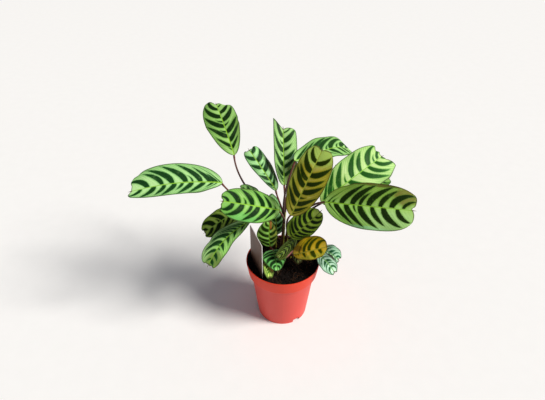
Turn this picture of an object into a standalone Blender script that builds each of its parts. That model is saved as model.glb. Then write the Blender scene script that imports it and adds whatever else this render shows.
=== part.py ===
"""A potted ctenanthe: patterned leaves on thin stems, standing in the soil of a 12 cm nursery pot.

Metres, +Z up. The origin is on the pot's axis, on the surface that the pot stands on. The plant is
seen from the front along +Y, with +X to the right. Sizes below are in millimetres.
"""

import math
from dataclasses import dataclass

import bmesh
import bpy
import numpy as np

MM = 0.001
GAP = 0.3

# The pot: a tapered body under a wide collar, on a low foot ring.
POT_HEIGHT = 111.5
RIM_RADIUS = 60.0
COLLAR_BOTTOM_RADIUS = 56.4
COLLAR_BOTTOM = 88.5
STEP_HEIGHT = 4.0
BODY_TOP_RADIUS = 51.6
FOOT_RADIUS = 41.5
WALL = 1.5
LIP = 1.0
LIP_BEVEL = 0.5
FOOT_HEIGHT = 4.0
FOOT_RING_WIDTH = 2.0
INNER_STEP_BOTTOM = 84.9
INNER_STEP_TOP = 89.3
FLOOR_TOP = 5.5
CENTRE_PAD_RADIUS = 8.0
NOTCH_WIDTH = 13.0
NOTCH_HEIGHT = 6.5
NOTCH_DEPTH = 12.0
NOTCH_ANGLES = (-56.0, 64.0, 184.0)
POT_SEGMENTS = 44

# The soil fills the pot to a little under its rim.
SOIL_LEVEL = 103.5
SOIL_LUMP = 1.4
SOIL_STEP_BOTTOM = 84.7
SOIL_SEGMENTS = 36
SOIL_RINGS = (9.0, 18.0, 27.0, 36.0, 45.0, 52.0)
ROOT_DEPTH = 20.0

# The plant label: a plain upright card that narrows to a stake in the soil.
LABEL_WIDTH = 56.0
LABEL_THICKNESS = 1.0
LABEL_TOP = 170.0
LABEL_CORNER = 2.0
LABEL_SHOULDER = 100.0
SHOULDER_CUT = (5.0, 4.0)
STAKE_WIDTH = 14.0
STAKE_TOP_DROP = 7.0
STAKE_END = 62.0
STAKE_POINT = 12.0
LABEL_FRONT = (-32.5, -37.5)
LABEL_BACK = (-52.8, 15.8)

# Leaf blades and stems.
BLADE_THICKNESS = 0.8
KEEL = 1.6
KEEL_REACH = 1.5
KEEL_TAPER = 0.75
NECK = 1.2
SWELL_POWER = 0.35
LEFT_WAVE_SHIFT = 1.3
TIP_START = 0.75
CORNER_POWER = 1.4
NOTCH_REACH = 0.4
TIP_ROUNDING = 0.14
ROW_EVENNESS = 0.6
BLADE_SHARP_DEGREES = 60.0
BLADE_COLUMNS = 6
LONG_BLADE_ROWS = 12
SHORT_BLADE_ROWS = 8
SHORT_BLADE = 70.0
OUTLINE_ROUNDNESS = 0.55
STALK_START_RADIUS = 1.9
STALK_END_RADIUS = 1.2
DRY_START_RADIUS = 1.2
DRY_END_RADIUS = 0.7
STALK_ROWS = 8
STALK_SIDES = 6
PLAIN_RISE = 0.4
PLAIN_ARRIVAL = 0.3
CANE_SIDES = 10

COLOURS = {
    "fresh": (0.30, 0.58, 0.16, 0.45),
    "olive": (0.32, 0.28, 0.05, 0.40),
    "shaded": (0.12, 0.22, 0.05, 0.50),
    "yellow": (0.50, 0.32, 0.02, 0.45),
    "bluish": (0.22, 0.52, 0.28, 0.45),
    "withered": (0.10, 0.07, 0.02, 0.70),
    "stem": (0.08, 0.03, 0.02, 0.50),
    "pot": (0.72, 0.10, 0.04, 0.38),
    "soil": (0.02, 0.012, 0.008, 0.95),
    "label": (0.09, 0.07, 0.06, 0.35),
}


@dataclass(frozen=True)
class Leaf:
    """One leaf: its blade from base to tip, and the stalk that carries it from a shoot."""

    name: str
    base: tuple  # where the blade starts
    tip: tuple  # where the midrib ends
    width: float  # across both halves
    up: tuple = (0, -0.7, 0.7)  # roughly where the patterned side faces
    arch: float = 6.0  # how far the midrib bows towards up
    sway: float = 0.0  # how far the midrib bows to the leaf's right
    peak: float = 0.5  # where along the midrib it bows most
    fold: tuple = (12, 12)  # degrees that the left and right halves rise at the midrib
    curl: tuple = (-25, -25)  # degrees that each half turns from midrib to margin
    wave: float = 1.5  # height of the margin's waves
    waves: float = 2.5  # waves along one margin
    phase: float = 0.0  # where the waves start, in degrees
    left_share: float = 0.5  # part of the width that is left of the midrib
    widest: float = 0.55  # where along the midrib it is widest
    base_blunt: float = 2.0
    tip_blunt: float = 3.0
    end: float = 0.5  # width at the very tip, as a part of the whole
    corner: tuple = (3.0, 3.0)  # how far the tip's left and right corners reach forward
    notch: float = 2.0  # depth of the notch in the tip
    tint: str = "fresh"
    shoot: str = "main"
    start: tuple = (0, 0, 0)  # where the stalk leaves the shoot
    bends: tuple = ()  # the two points that pull the stalk's curve, where it isn't a plain one


@dataclass(frozen=True)
class Shoot:
    """One shoot: a cane that stands in the soil, as centres and radii from the root up."""

    name: str
    foot: tuple
    radius: float
    cane: tuple
    dry: tuple = ()  # an old flower stalk: its start, the two points that pull it, and its end


SHOOTS = (
    Shoot("main", (-1.2, 30), 3.4, (((0.3, 27.6, 135), 3.0), ((1.5, 25.8, 165), 2.4), ((2.4, 21, 190), 2.0))),
    Shoot("right", (6.8, 29.5), 2.8, (((6.4, 28.5, 125), 2.6), ((6.8, 27, 142), 2.4), ((8, 25, 158), 2.0)),
          dry=((8, 25, 154), (30, 46, 188), (71, 52, 230), (80.2, 46, 262))),
    Shoot("left", (-13, 36), 3.4, (((-15, 39, 130), 3.2), ((-21, 44, 160), 2.6), ((-27, 46, 182), 2.0))),
    Shoot("low_left", (-15, 15), 2.6, (((-16, 13, 112), 2.4), ((-17, 11, 119), 1.9))),
    Shoot("low_right", (12, 12), 2.8, (((13, 9, 112), 2.6), ((15, 5, 120), 2.0))),
)

LEAVES = (
    Leaf("leaf_tall_left", (-74, 40, 283), (-105, 112, 334), 52, up=(0.1, -0.7, 0.7), widest=0.6,
         base_blunt=1.35, end=0.6, left_share=0.53, corner=(9, -1), shoot="left", start=(-25, 45, 176),
         bends=((-46, 42, 200), (-75, 38, 246))),
    Leaf("leaf_far_left", (-90, 5, 257), (-218, -25, 261), 46, up=(-0.1, -0.75, 0.65), arch=5, sway=5,
         left_share=0.36, widest=0.5, base_blunt=1.8, tip_blunt=2.2, wave=2.4, waves=1.6, phase=40,
         corner=(5, -3), shoot="left", start=(-24, 45, 172), bends=((-54, 28, 190), (-85, 9, 239))),
    Leaf("leaf_rolled", (-11, 25, 229), (-53, 57, 283), 36, up=(0.1, -0.8, 0.6), curl=(-25, -90),
         left_share=0.37, widest=0.72, base_blunt=1.3, end=0.75, start=(1.9, 25, 170),
         bends=((2, 25, 190), (-10, 24, 214))),
    Leaf("leaf_pointed", (1, 30, 235), (-1, 72, 312), 37, up=(0, -0.8, 0.6), fold=(25, 25),
         curl=(-10, -50), left_share=0.42, widest=0.5, base_blunt=1.7, end=0.94, corner=(21, 2),
         start=(2.2, 22, 184), bends=((5, 23, 197), (1.5, 28, 216))),
    Leaf("leaf_arching_back", (15.5, 28, 281), (111, 92, 259), 44, up=(0, -0.29, 0.957), arch=15,
         peak=0.64, widest=0.5, curl=(-15, -40), left_share=0.6, end=0.35, start=(2.3, 21.8, 186),
         bends=((-4, 12, 215), (6, 16, 256))),
    Leaf("leaf_olive", (10, -28, 221), (52, -5, 318), 50, up=(-0.1, -0.8, 0.5), left_share=0.48,
         widest=0.58, end=0.55, tint="olive", shoot="right", start=(7, 26.5, 148),
         bends=((5, 20, 168), (3.5, -12, 203))),
    Leaf("leaf_right_upper", (57, 5, 220), (152, 55, 273), 67, up=(-0.2, -0.7, 0.7), widest=0.58,
         base_blunt=1.7, end=0.7, corner=(8, 14), left_share=0.5, shoot="right", start=(8, 25, 155),
         bends=((14, 26, 176), (40, 18, 208))),
    Leaf("leaf_right_lower", (60, -8, 231), (181, -46, 243), 68, up=(0, -0.8, 0.6), arch=4,
         widest=0.52, end=0.6, corner=(6, 2), shoot="right", start=(7.6, 25.5, 152),
         bends=((12, 26, 172), (40, 16, 216))),
    Leaf("leaf_right_behind", (95, 25, 226), (168, 55, 232), 26, shoot="right", start=(8.2, 24.8, 156),
         bends=((24, 30, 180), (72, 24, 216))),
    Leaf("leaf_middle_left", (-6, -8, 216), (-88, -38, 254), 48.5, up=(0.1, -0.75, 0.65),
         left_share=0.525, start=(1.8, 25.8, 166), bends=((3, 12, 182), (-2, -2, 204))),
    Leaf("leaf_dark_left", (-62, 22, 198), (-123, -5, 170), 36, up=(-0.3, -0.7, 0.7), end=0.45,
         widest=0.6, left_share=0.46, tint="shaded", shoot="left", start=(-21, 44, 160)),
    Leaf("leaf_lower_left", (-51, -12, 199), (-113, -58, 151), 36.5, up=(-0.3, -0.6, 0.8), sway=6,
         widest=0.68, base_blunt=1.35, end=0.68, left_share=0.44, corner=(2, 2), shoot="left",
         start=(-20, 43, 154), bends=((-30, 34, 182), (-42, 8, 208))),
    Leaf("leaf_behind_left", (-34, 27, 203), (-69, 30, 227), 25, up=(0.1, -0.7, 0.7), left_share=0.38,
         shoot="left", start=(-23, 45, 166), bends=((-34, 48, 180), (-33, 38, 194))),
    Leaf("leaf_curled", (-11, 31, 136), (-24, 41, 208), 26, up=(0, -0.95, 0.3), sway=5, left_share=0.42,
         start=(0.4, 29.2, 121), bends=((-1, 30, 129), (-9, 30, 126))),
    Leaf("leaf_centre", (-21, 6, 132), (-22, 16, 176), 34, up=(-0.1, -0.9, 0.4), left_share=0.6,
         tip_blunt=1.7, end=0.15, notch=0.5, tint="shaded", shoot="low_left", start=(-16, 13, 113)),
    Leaf("leaf_under_olive", (11, 0, 157), (55, -5, 211), 41.5, up=(0.1, -0.85, 0.5), base_blunt=2.6,
         tip_blunt=2.3, end=0.28, notch=0.4, corner=(1.5, 1.5), left_share=0.57, tint="shaded",
         shoot="right", start=(6.6, 28, 130), bends=((8, 20, 146), (7, 6, 151))),
    Leaf("leaf_yellow", (16, -16.2, 134.3), (66.5, -29.5, 163), 36, up=(0, -0.75, 0.65), left_share=0.61,
         base_blunt=1.5, corner=(1.5, -4), notch=0.3, tint="yellow", shoot="low_right",
         start=(14, 7, 116), bends=((14, 1, 122), (11, -8, 128))),
    Leaf("leaf_low_right_front", (55, -18, 138), (80, -39, 118), 27, up=(0.2, -0.7, 0.7),
         left_share=0.5, tip_blunt=1.8, end=0.3, tint="bluish", shoot="low_right", start=(14, 8, 114),
         bends=((24, 0, 124), (44, -10, 140))),
    Leaf("leaf_low_right_back", (60, -5, 139), (88, -20, 127), 24, up=(0.2, -0.7, 0.7), end=0.4,
         left_share=0.6, tint="bluish", shoot="low_right", start=(14, 8, 113),
         bends=((26, 6, 124), (46, 2, 140))),
    Leaf("leaf_front", (-16, 4, 127), (-9, -40, 122), 41, up=(0, -0.4, 0.9), tip_blunt=1.1, end=0.06,
         widest=0.44, notch=0.3, corner=(0, 0), left_share=0.48, shoot="low_left", start=(-16, 12, 116)),
    Leaf("leaf_dark_small", (21, 13, 146), (-9, -27, 139), 20, up=(0.3, -0.6, 0.6), base_blunt=1.5,
         left_share=0.57, tint="shaded", shoot="low_right", start=(14, 7, 116),
         bends=((15, 9, 126), (22, 16, 138))),
    Leaf("leaf_on_soil", (-28, -17, 121), (-21, -41, 110), 17, up=(0.2, -0.5, 0.8), left_share=0.5,
         end=0.35, notch=0.4, wave=0.8, tint="yellow", shoot="low_left", start=(-16, 13, 111),
         bends=((-20, 6, 116), (-28, -8, 125))),
    Leaf("leaf_withered", (18, -2, 121), (27, -15, 116.5), 15, up=(0.1, -0.5, 0.8), left_share=0.5,
         wave=1.2, tint="withered", shoot="low_right", start=(14, 9, 111),
         bends=((16, 6, 115), (16, 2, 121))),
)


def unit(vectors):
    """The vectors, or the one vector, brought to length 1."""
    vectors = np.asarray(vectors, float)
    return vectors / np.linalg.norm(vectors, axis=-1, keepdims=True)


def clear_scene():
    for thing in list(bpy.data.objects):
        bpy.data.objects.remove(thing, do_unlink=True)


def finish(name, finish_name):
    """A plain material of its own, with the colour and the roughness of one kind of surface."""
    red, green, blue, roughness = COLOURS[finish_name]
    material = bpy.data.materials.new(name)
    material.use_nodes = True
    shader = material.node_tree.nodes["Principled BSDF"]
    shader.inputs["Base Color"].default_value = (red, green, blue, 1.0)
    shader.inputs["Roughness"].default_value = roughness
    shader.inputs["Metallic"].default_value = 0.0
    return material


def solid(name, points, faces, finish_name, sharp_degrees=40.0):
    """An object of points in millimetres, shaded smooth up to an angle."""
    mesh = bpy.data.meshes.new(name)
    mesh.from_pydata((np.asarray(points, float) * MM).tolist(), [], [list(face) for face in faces])
    mesh.shade_smooth()
    mesh.set_sharp_from_angle(angle=math.radians(sharp_degrees))
    mesh.materials.append(finish(name, finish_name))
    piece = bpy.data.objects.new(name, mesh)
    bpy.context.scene.collection.objects.link(piece)
    return piece


def as_cutter(piece):
    piece.hide_render = True
    piece.display_type = "WIRE"
    return piece


def cut(piece, cutter):
    boolean = piece.modifiers.new("cut_" + cutter.name, "BOOLEAN")
    boolean.operation = "DIFFERENCE"
    boolean.solver = "EXACT"
    boolean.object = cutter


def turned(name, profile, segments, finish_name):
    """A solid turned about Z. The profile runs from a point on the axis to another on the axis."""
    angles = np.arange(segments) * 2 * math.pi / segments
    rings = [np.stack([r * np.cos(angles), r * np.sin(angles), np.full(segments, z)], -1)
             for r, z in profile[1:-1]]
    points = [(0, 0, profile[0][1]), *np.concatenate(rings).tolist(), (0, 0, profile[-1][1])]
    last = len(points) - 1
    faces = []
    for k in range(segments):
        n = (k + 1) % segments
        faces.append((0, 1 + n, 1 + k))
        for ring in range(len(rings) - 1):
            low, high = 1 + ring * segments, 1 + (ring + 1) * segments
            faces.append((low + k, low + n, high + n, high + k))
        top = 1 + (len(rings) - 1) * segments
        faces.append((top + k, top + n, last))
    return solid(name, points, faces, finish_name)


def box(name, size, centre, turn_degrees):
    """A box turned about Z around the origin, after it is moved to its centre."""
    turn = math.radians(turn_degrees)
    corners = [(x, y, z) for x in (-0.5, 0.5) for y in (-0.5, 0.5) for z in (-0.5, 0.5)]
    points = np.array(corners) * size + centre
    x = points[:, 0] * math.cos(turn) - points[:, 1] * math.sin(turn)
    y = points[:, 0] * math.sin(turn) + points[:, 1] * math.cos(turn)
    faces = ((0, 1, 3, 2), (4, 6, 7, 5), (0, 4, 5, 1), (2, 3, 7, 6), (0, 2, 6, 4), (1, 5, 7, 3))
    return solid(name, np.stack([x, y, points[:, 2]], -1), faces, "pot")


def pot_inside_radius(height):
    """The inner wall's radius at a height: it follows the outside, one wall thickness in."""
    heights = (FLOOR_TOP, COLLAR_BOTTOM - STEP_HEIGHT, COLLAR_BOTTOM, POT_HEIGHT)
    radii = (FOOT_RADIUS, BODY_TOP_RADIUS, COLLAR_BOTTOM_RADIUS, RIM_RADIUS)
    return float(np.interp(height, heights, radii)) - WALL


def make_pot():
    step = COLLAR_BOTTOM - STEP_HEIGHT
    ring_inside = FOOT_RADIUS - FOOT_RING_WIDTH
    inside = [(pot_inside_radius(z), z) for z in (INNER_STEP_TOP, INNER_STEP_BOTTOM, FLOOR_TOP)]
    profile = [
        (0, 0), (CENTRE_PAD_RADIUS, 0), (CENTRE_PAD_RADIUS, FOOT_HEIGHT), (ring_inside, FOOT_HEIGHT),
        (ring_inside, 0), (FOOT_RADIUS, 0), (BODY_TOP_RADIUS, step), (COLLAR_BOTTOM_RADIUS, COLLAR_BOTTOM),
        (RIM_RADIUS, POT_HEIGHT - LIP), (RIM_RADIUS - LIP_BEVEL, POT_HEIGHT),
        (RIM_RADIUS - WALL, POT_HEIGHT), *inside, (0, FLOOR_TOP),
    ]
    pot = turned("pot", profile, POT_SEGMENTS, "pot")
    for number, angle in enumerate(NOTCH_ANGLES):
        size = (NOTCH_DEPTH, NOTCH_WIDTH, 2 * NOTCH_HEIGHT)
        notch = as_cutter(box(f"foot_notch_cutter_{number}", size, (FOOT_RADIUS, 0, 0), angle))
        cut(pot, notch)
    return pot


def soil_top(x, y):
    """The height of the soil's lumpy top: a few crossed sine waves."""
    lumps = np.sin(x * 0.21 + 0.6) * np.cos(y * 0.17) + 0.6 * np.sin(x * 0.43 - y * 0.37 + 1.9)
    return SOIL_LEVEL + SOIL_LUMP * 0.5 * lumps


def make_soil():
    angles = np.arange(SOIL_SEGMENTS) * 2 * math.pi / SOIL_SEGMENTS
    edge = pot_inside_radius(SOIL_LEVEL) - GAP
    heights = (FLOOR_TOP + GAP, SOIL_STEP_BOTTOM, INNER_STEP_TOP)
    sides = [(pot_inside_radius(z) - GAP, z) for z in heights]
    profile = [(0, FLOOR_TOP + GAP), *sides, (edge, SOIL_LEVEL)]
    profile += [(r, SOIL_LEVEL) for r in reversed(SOIL_RINGS)]
    soil = turned("soil", profile + [(0, SOIL_LEVEL)], SOIL_SEGMENTS, "soil")
    first_lumpy = 1 + (len(profile) - 1 - len(SOIL_RINGS)) * len(angles)
    for vertex in soil.data.vertices[first_lumpy:]:
        vertex.co.z = soil_top(vertex.co.x / MM, vertex.co.y / MM) * MM
    return soil


def label_outline(top, grow=0.0):
    """The card as (distance towards the back, height): in the soil it narrows to a pointed stake."""
    half, stake, shoulder = LABEL_WIDTH / 2 + grow, STAKE_WIDTH / 2 + grow, LABEL_SHOULDER - grow
    cut_in, cut_down = SHOULDER_CUT
    back = [(half - LABEL_CORNER, top), (half, top - LABEL_CORNER), (half, shoulder),
            (half - cut_in, shoulder - cut_down), (stake, shoulder - STAKE_TOP_DROP),
            (stake, STAKE_END + STAKE_POINT)]
    front = [(-distance, height) for distance, height in reversed(back)]
    return [*back, (0, STAKE_END - grow), *front]


def make_label():
    return upright_plate("plant_label", label_outline(LABEL_TOP), LABEL_THICKNESS, "label")


def upright_plate(name, outline, thickness, finish_name):
    """A flat outline of (distance towards the back, height), made a plate on the label's line."""
    front, back = np.array(LABEL_FRONT), np.array(LABEL_BACK)
    centre, along = (front + back) / 2, unit(back - front)
    side = np.array((along[1], -along[0])) * thickness / 2
    count = len(outline)
    points = []
    for offset in (side, -side):
        for distance, height in outline:
            x, y = centre + along * distance + offset
            points.append((x, y, height))
    faces = [tuple(range(count)), tuple(reversed(range(count, 2 * count)))]
    for k in range(count):
        n = (k + 1) % count
        faces.append((n, k, count + k, count + n))
    plate = solid(name, points, faces, finish_name)
    make_outward(plate)
    return plate


def make_outward(piece):
    """Turn a closed mesh's faces outwards."""
    shell = bmesh.new()
    shell.from_mesh(piece.data)
    bmesh.ops.recalc_face_normals(shell, faces=shell.faces)
    shell.to_mesh(piece.data)
    shell.free()


def tube(name, centres, radii, sides, finish_name, end_way=None):
    """A round tube through the centres, capped at both ends. Its end cap may face a way of its own."""
    centres = np.asarray(centres, float)
    along = unit(np.gradient(centres, axis=0))
    if end_way is not None:
        along[-1] = end_way
    across = unit(np.cross(along, (0.31, 0.92, 0.12)))
    other = np.cross(along, across)
    angles = np.arange(sides) * 2 * math.pi / sides
    radii = np.asarray(radii, float)[:, None, None]
    ring = np.cos(angles)[None, :, None] * across[:, None] + np.sin(angles)[None, :, None] * other[:, None]
    points = (centres[:, None] + radii * ring).reshape(-1, 3)
    last = (len(centres) - 1) * sides
    faces = [tuple(reversed(range(sides))), tuple(range(last, last + sides))]
    for row in range(len(centres) - 1):
        for k in range(sides):
            n = (k + 1) % sides
            low, high = row * sides, (row + 1) * sides
            faces.append((low + k, low + n, high + n, high + k))
    piece = solid(name, points, faces, finish_name)
    make_outward(piece)
    return piece


def half_width(leaf, along):
    """Half of the blade's width as a part of the whole half: round at the base, blunt at the tip."""
    reach = (1 - leaf.end ** (1 / OUTLINE_ROUNDNESS)) ** (-1 / leaf.tip_blunt)
    near = np.clip((leaf.widest - along) / leaf.widest, 0, 1) ** leaf.base_blunt
    far = np.clip((along - leaf.widest) / (1 - leaf.widest) / reach, 0, 1) ** leaf.tip_blunt
    return (1 - np.where(along < leaf.widest, near, far)) ** OUTLINE_ROUNDNESS


def midrib(leaf, along):
    """Points of the midrib, with the way it runs, the way the blade faces and the way to its right."""
    base, tip = np.array(leaf.base, float), np.array(leaf.tip, float)
    chord = tip - base
    up = np.array(leaf.up, float)
    up = unit(up - (up @ unit(chord)) * unit(chord))
    side = np.cross(unit(chord), up)
    power = math.log(0.5) / math.log(leaf.peak)
    place = np.clip(along, 1e-3, 1) ** power
    bow = np.where(along > 0, np.sin(math.pi * place), 0)
    slope = math.pi * np.cos(math.pi * place) * power * np.clip(along, 1e-3, 1) ** (power - 1)
    bend = leaf.arch * up + leaf.sway * side
    points = base + along[:, None] * chord + bow[:, None] * bend
    ahead = unit(chord + slope[:, None] * bend)
    normal = unit(up - (ahead @ up)[:, None] * ahead)
    return points, ahead, normal, np.cross(ahead, normal)


def blade_surface(leaf, along, across):
    """The blade's upper side on a grid: along runs from 0 to 1, across from -1 (left) to 1 (right)."""
    points, ahead, normal, right = midrib(leaf, along)
    u, v = along[:, None], across[None, :]
    left = v < 0
    part = np.where(left, leaf.left_share, 1 - leaf.left_share)
    half = leaf.width * part
    share = np.maximum(half_width(leaf, along)[:, None], NECK / half)
    turn = np.abs(v) * share
    swell = np.sin(math.pi * u) ** SWELL_POWER
    fold = np.radians(np.where(left, leaf.fold[0], leaf.fold[1])) * np.clip(swell, 0, 1)
    curl = np.radians(np.where(left, leaf.curl[0], leaf.curl[1])) + 1e-4
    out = half * (np.sin(fold + curl * turn) - np.sin(fold)) / curl * np.sign(v)
    lift = half * (np.cos(fold) - np.cos(fold + curl * turn)) / curl
    shift = math.radians(leaf.phase) + np.where(left, LEFT_WAVE_SHIFT, 0)
    ripple = np.sin(2 * math.pi * leaf.waves * u + shift)
    lift = lift + leaf.wave * v ** 2 * ripple * np.sqrt(np.clip(np.sin(math.pi * u), 0, 1))
    near_tip = np.clip((u - TIP_START) / (1 - TIP_START), 0, 1) ** 2
    corner = np.where(left, leaf.corner[0], leaf.corner[1]) * np.abs(v) ** CORNER_POWER
    notch = leaf.notch * np.clip(1 - np.abs(v) / NOTCH_REACH, 0, 1) ** 2
    rounding = TIP_ROUNDING * leaf.end * leaf.width * v ** 4
    forward = near_tip * (corner - notch - rounding)
    steps = (right[:, None] * out[..., None], normal[:, None] * lift[..., None],
             ahead[:, None] * forward[..., None])
    return points[:, None] + sum(steps), out


def grid_normals(points):
    along = np.gradient(points, axis=0)
    across = np.gradient(points, axis=1)
    return unit(np.cross(across, along))


def make_blade(leaf):
    """A blade as a closed sheet: both faces are split into the same triangles."""
    length = np.linalg.norm(np.subtract(leaf.tip, leaf.base))
    rows = LONG_BLADE_ROWS if length > SHORT_BLADE else SHORT_BLADE_ROWS
    even = np.linspace(0, 1, rows + 1)
    eased = 0.5 - 0.5 * np.cos(math.pi * even)
    along = ROW_EVENNESS * even + (1 - ROW_EVENNESS) * eased
    across = np.linspace(-1, 1, BLADE_COLUMNS + 1)
    top, out = blade_surface(leaf, along, across)
    keel = KEEL * (1 - KEEL_TAPER * along[:, None]) * np.exp(-(out / KEEL_REACH) ** 2)
    bottom = top - grid_normals(top) * (BLADE_THICKNESS + keel)[..., None]
    wide = BLADE_COLUMNS + 1
    count = (rows + 1) * wide
    faces = []
    for i in range(rows):
        for j in range(BLADE_COLUMNS):
            a, b, c, d = i * wide + j, i * wide + j + 1, (i + 1) * wide + j + 1, (i + 1) * wide + j
            for one, two, three in ((a, b, c), (a, c, d)):
                faces.append((one, two, three))
                faces.append((count + three, count + two, count + one))
    rim = list(range(wide))
    rim += [i * wide + wide - 1 for i in range(1, rows + 1)]
    rim += [rows * wide + j for j in range(wide - 2, -1, -1)]
    rim += [i * wide for i in range(rows - 1, 0, -1)]
    for one, two in zip(rim, rim[1:] + rim[:1]):
        faces.append((two, one, count + one))
        faces.append((two, count + one, count + two))
    points = np.concatenate([top.reshape(-1, 3), bottom.reshape(-1, 3)])
    blade = solid(leaf.name, points, faces, leaf.tint, BLADE_SHARP_DEGREES)
    make_outward(blade)
    return blade


def stalk_line(leaf):
    """The stalk's curve from its shoot, and the way it ends: flat against the blade's base."""
    points, ahead, normal, _ = midrib(leaf, np.zeros(1))
    middle = BLADE_THICKNESS / 2 + KEEL / 2
    start = np.array(leaf.start, float)
    span = np.linalg.norm(points[0] - start)
    plain = start + np.array((0, 0, PLAIN_RISE * span)), points[0] - ahead[0] * PLAIN_ARRIVAL * span
    first, second = np.array(leaf.bends or plain, float)
    end = points[0] - ahead[0] * GAP - normal[0] * middle
    return pulled_curve(start, first, second, end, STALK_ROWS), ahead[0]


def pulled_curve(start, first, second, end, rows):
    """Points of a cubic curve from start to end, pulled by the two points between."""
    t = np.linspace(0, 1, rows + 1)[:, None]
    start, first, second, end = np.array((start, first, second, end), float)
    return (1 - t) ** 3 * start + 3 * t * (1 - t) ** 2 * first + 3 * t ** 2 * (1 - t) * second + t ** 3 * end


def make_shoot(shoot):
    """One shoot: its cane from the root up, joined with the stalks that grow from it."""
    foot_x, foot_y = shoot.foot
    root = [(foot_x, foot_y, SOIL_LEVEL - ROOT_DEPTH), (foot_x, foot_y, SOIL_LEVEL + 3)]
    centres = root + [centre for centre, _ in shoot.cane]
    radii = [shoot.radius, shoot.radius] + [radius for _, radius in shoot.cane]
    cane = tube("stems_" + shoot.name, centres, radii, CANE_SIDES, "stem")
    group = bpy.data.collections.new("stalks_" + shoot.name)
    bpy.context.scene.collection.children.link(group)
    for leaf in LEAVES:
        if leaf.shoot == shoot.name:
            radii = np.linspace(STALK_START_RADIUS, STALK_END_RADIUS, STALK_ROWS + 1)
            line, way = stalk_line(leaf)
            stalk = tube(leaf.name + "_stalk", line, radii, STALK_SIDES, "stem", way)
            bpy.context.scene.collection.objects.unlink(stalk)
            group.objects.link(stalk)
    if shoot.dry:
        line = pulled_curve(*shoot.dry, STALK_ROWS)
        radii = np.linspace(DRY_START_RADIUS, DRY_END_RADIUS, STALK_ROWS + 1)
        dry_stalk = tube(shoot.name + "_dry_stalk", line, radii, STALK_SIDES, "stem")
        bpy.context.scene.collection.objects.unlink(dry_stalk)
        group.objects.link(dry_stalk)
    join(cane, group)
    return cane


def join(piece, group):
    """Join a collection's objects to a piece, apply it, and remove them."""
    union = piece.modifiers.new("join", "BOOLEAN")
    union.operation = "UNION"
    union.solver = "EXACT"
    union.operand_type = "COLLECTION"
    union.collection = group
    whole = piece.evaluated_get(bpy.context.evaluated_depsgraph_get())
    mesh = bpy.data.meshes.new_from_object(whole)
    piece.modifiers.clear()
    piece.data = mesh
    for member in list(group.objects):
        bpy.data.objects.remove(member, do_unlink=True)
    bpy.data.collections.remove(group)


def make_holes(soil):
    """Plain holes in the soil for the canes, and a plain slot for the label's stake."""
    for shoot in SHOOTS:
        x, y = shoot.foot
        low = SOIL_LEVEL - ROOT_DEPTH - GAP
        centres = [(x, y, low), (x, y, POT_HEIGHT + 5)]
        radius = (shoot.radius + GAP) / math.cos(math.pi / CANE_SIDES)
        cutter = tube("hole_cutter_" + shoot.name, centres, (radius, radius), CANE_SIDES, "soil")
        cut(soil, as_cutter(cutter))
    outline = label_outline(LABEL_TOP, GAP)
    slot = upright_plate("slot_cutter", outline, LABEL_THICKNESS + 2 * GAP, "soil")
    cut(soil, as_cutter(slot))


def main():
    clear_scene()
    make_pot()
    soil = make_soil()
    make_holes(soil)
    make_label()
    for leaf in LEAVES:
        make_blade(leaf)
    for shoot in SHOOTS:
        make_shoot(shoot)


main()
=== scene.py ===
# %% [markdown]
# # A potted ctenanthe, dressed over its solid model
#
# The solid model of the plant is loaded as a fixed frame: every leaf, stem, the soil, the label and
# the pot are already the right size and in the right place. This lesson replaces each solid with a
# finer surface of the same form, and gives it the finish of the real thing.

# %% Load the solid model
import math
from dataclasses import dataclass

import bpy
import numpy as np
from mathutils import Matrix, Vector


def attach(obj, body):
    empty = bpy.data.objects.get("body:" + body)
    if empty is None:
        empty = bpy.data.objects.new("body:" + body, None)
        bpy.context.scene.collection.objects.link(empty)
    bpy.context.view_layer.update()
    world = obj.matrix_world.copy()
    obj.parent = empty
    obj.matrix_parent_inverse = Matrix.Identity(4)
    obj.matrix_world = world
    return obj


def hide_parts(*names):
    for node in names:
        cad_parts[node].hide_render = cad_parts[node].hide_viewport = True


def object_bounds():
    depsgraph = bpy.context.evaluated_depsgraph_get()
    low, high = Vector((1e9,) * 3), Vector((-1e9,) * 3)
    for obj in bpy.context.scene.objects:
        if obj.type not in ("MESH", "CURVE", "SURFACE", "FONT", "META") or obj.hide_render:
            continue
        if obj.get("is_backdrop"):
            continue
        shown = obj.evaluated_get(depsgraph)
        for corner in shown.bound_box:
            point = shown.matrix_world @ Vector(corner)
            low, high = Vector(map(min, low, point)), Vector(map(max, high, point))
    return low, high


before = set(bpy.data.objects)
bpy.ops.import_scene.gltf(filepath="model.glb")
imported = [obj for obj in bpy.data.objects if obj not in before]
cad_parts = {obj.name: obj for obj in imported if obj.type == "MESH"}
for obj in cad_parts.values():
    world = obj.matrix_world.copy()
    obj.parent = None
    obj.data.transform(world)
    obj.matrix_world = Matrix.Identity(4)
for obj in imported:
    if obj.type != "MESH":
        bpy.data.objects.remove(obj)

solid_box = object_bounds()
print("the solid model reaches from", solid_box[0], "to", solid_box[1], "metres")

# %% [markdown]
# ## The view
#
# The plant is seen from 35 degrees above the floor and from about an arm's length, so the pot
# narrows towards its foot in the picture. A camera can be aimed by a constraint or by its own
# angles. Its own angles are used, because it never moves.

# %% Place the camera
LENS_MM = 31.0
VIEW_DOWN_DEGREES = 35.3
VIEW_DISTANCE = 0.700
VIEW_TARGET = (-0.017, 0.0, 0.229)


def show(name, data):
    """A new object that holds this data, in the scene."""
    shown = bpy.data.objects.new(name, data)
    bpy.context.scene.collection.objects.link(shown)
    return shown


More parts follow.
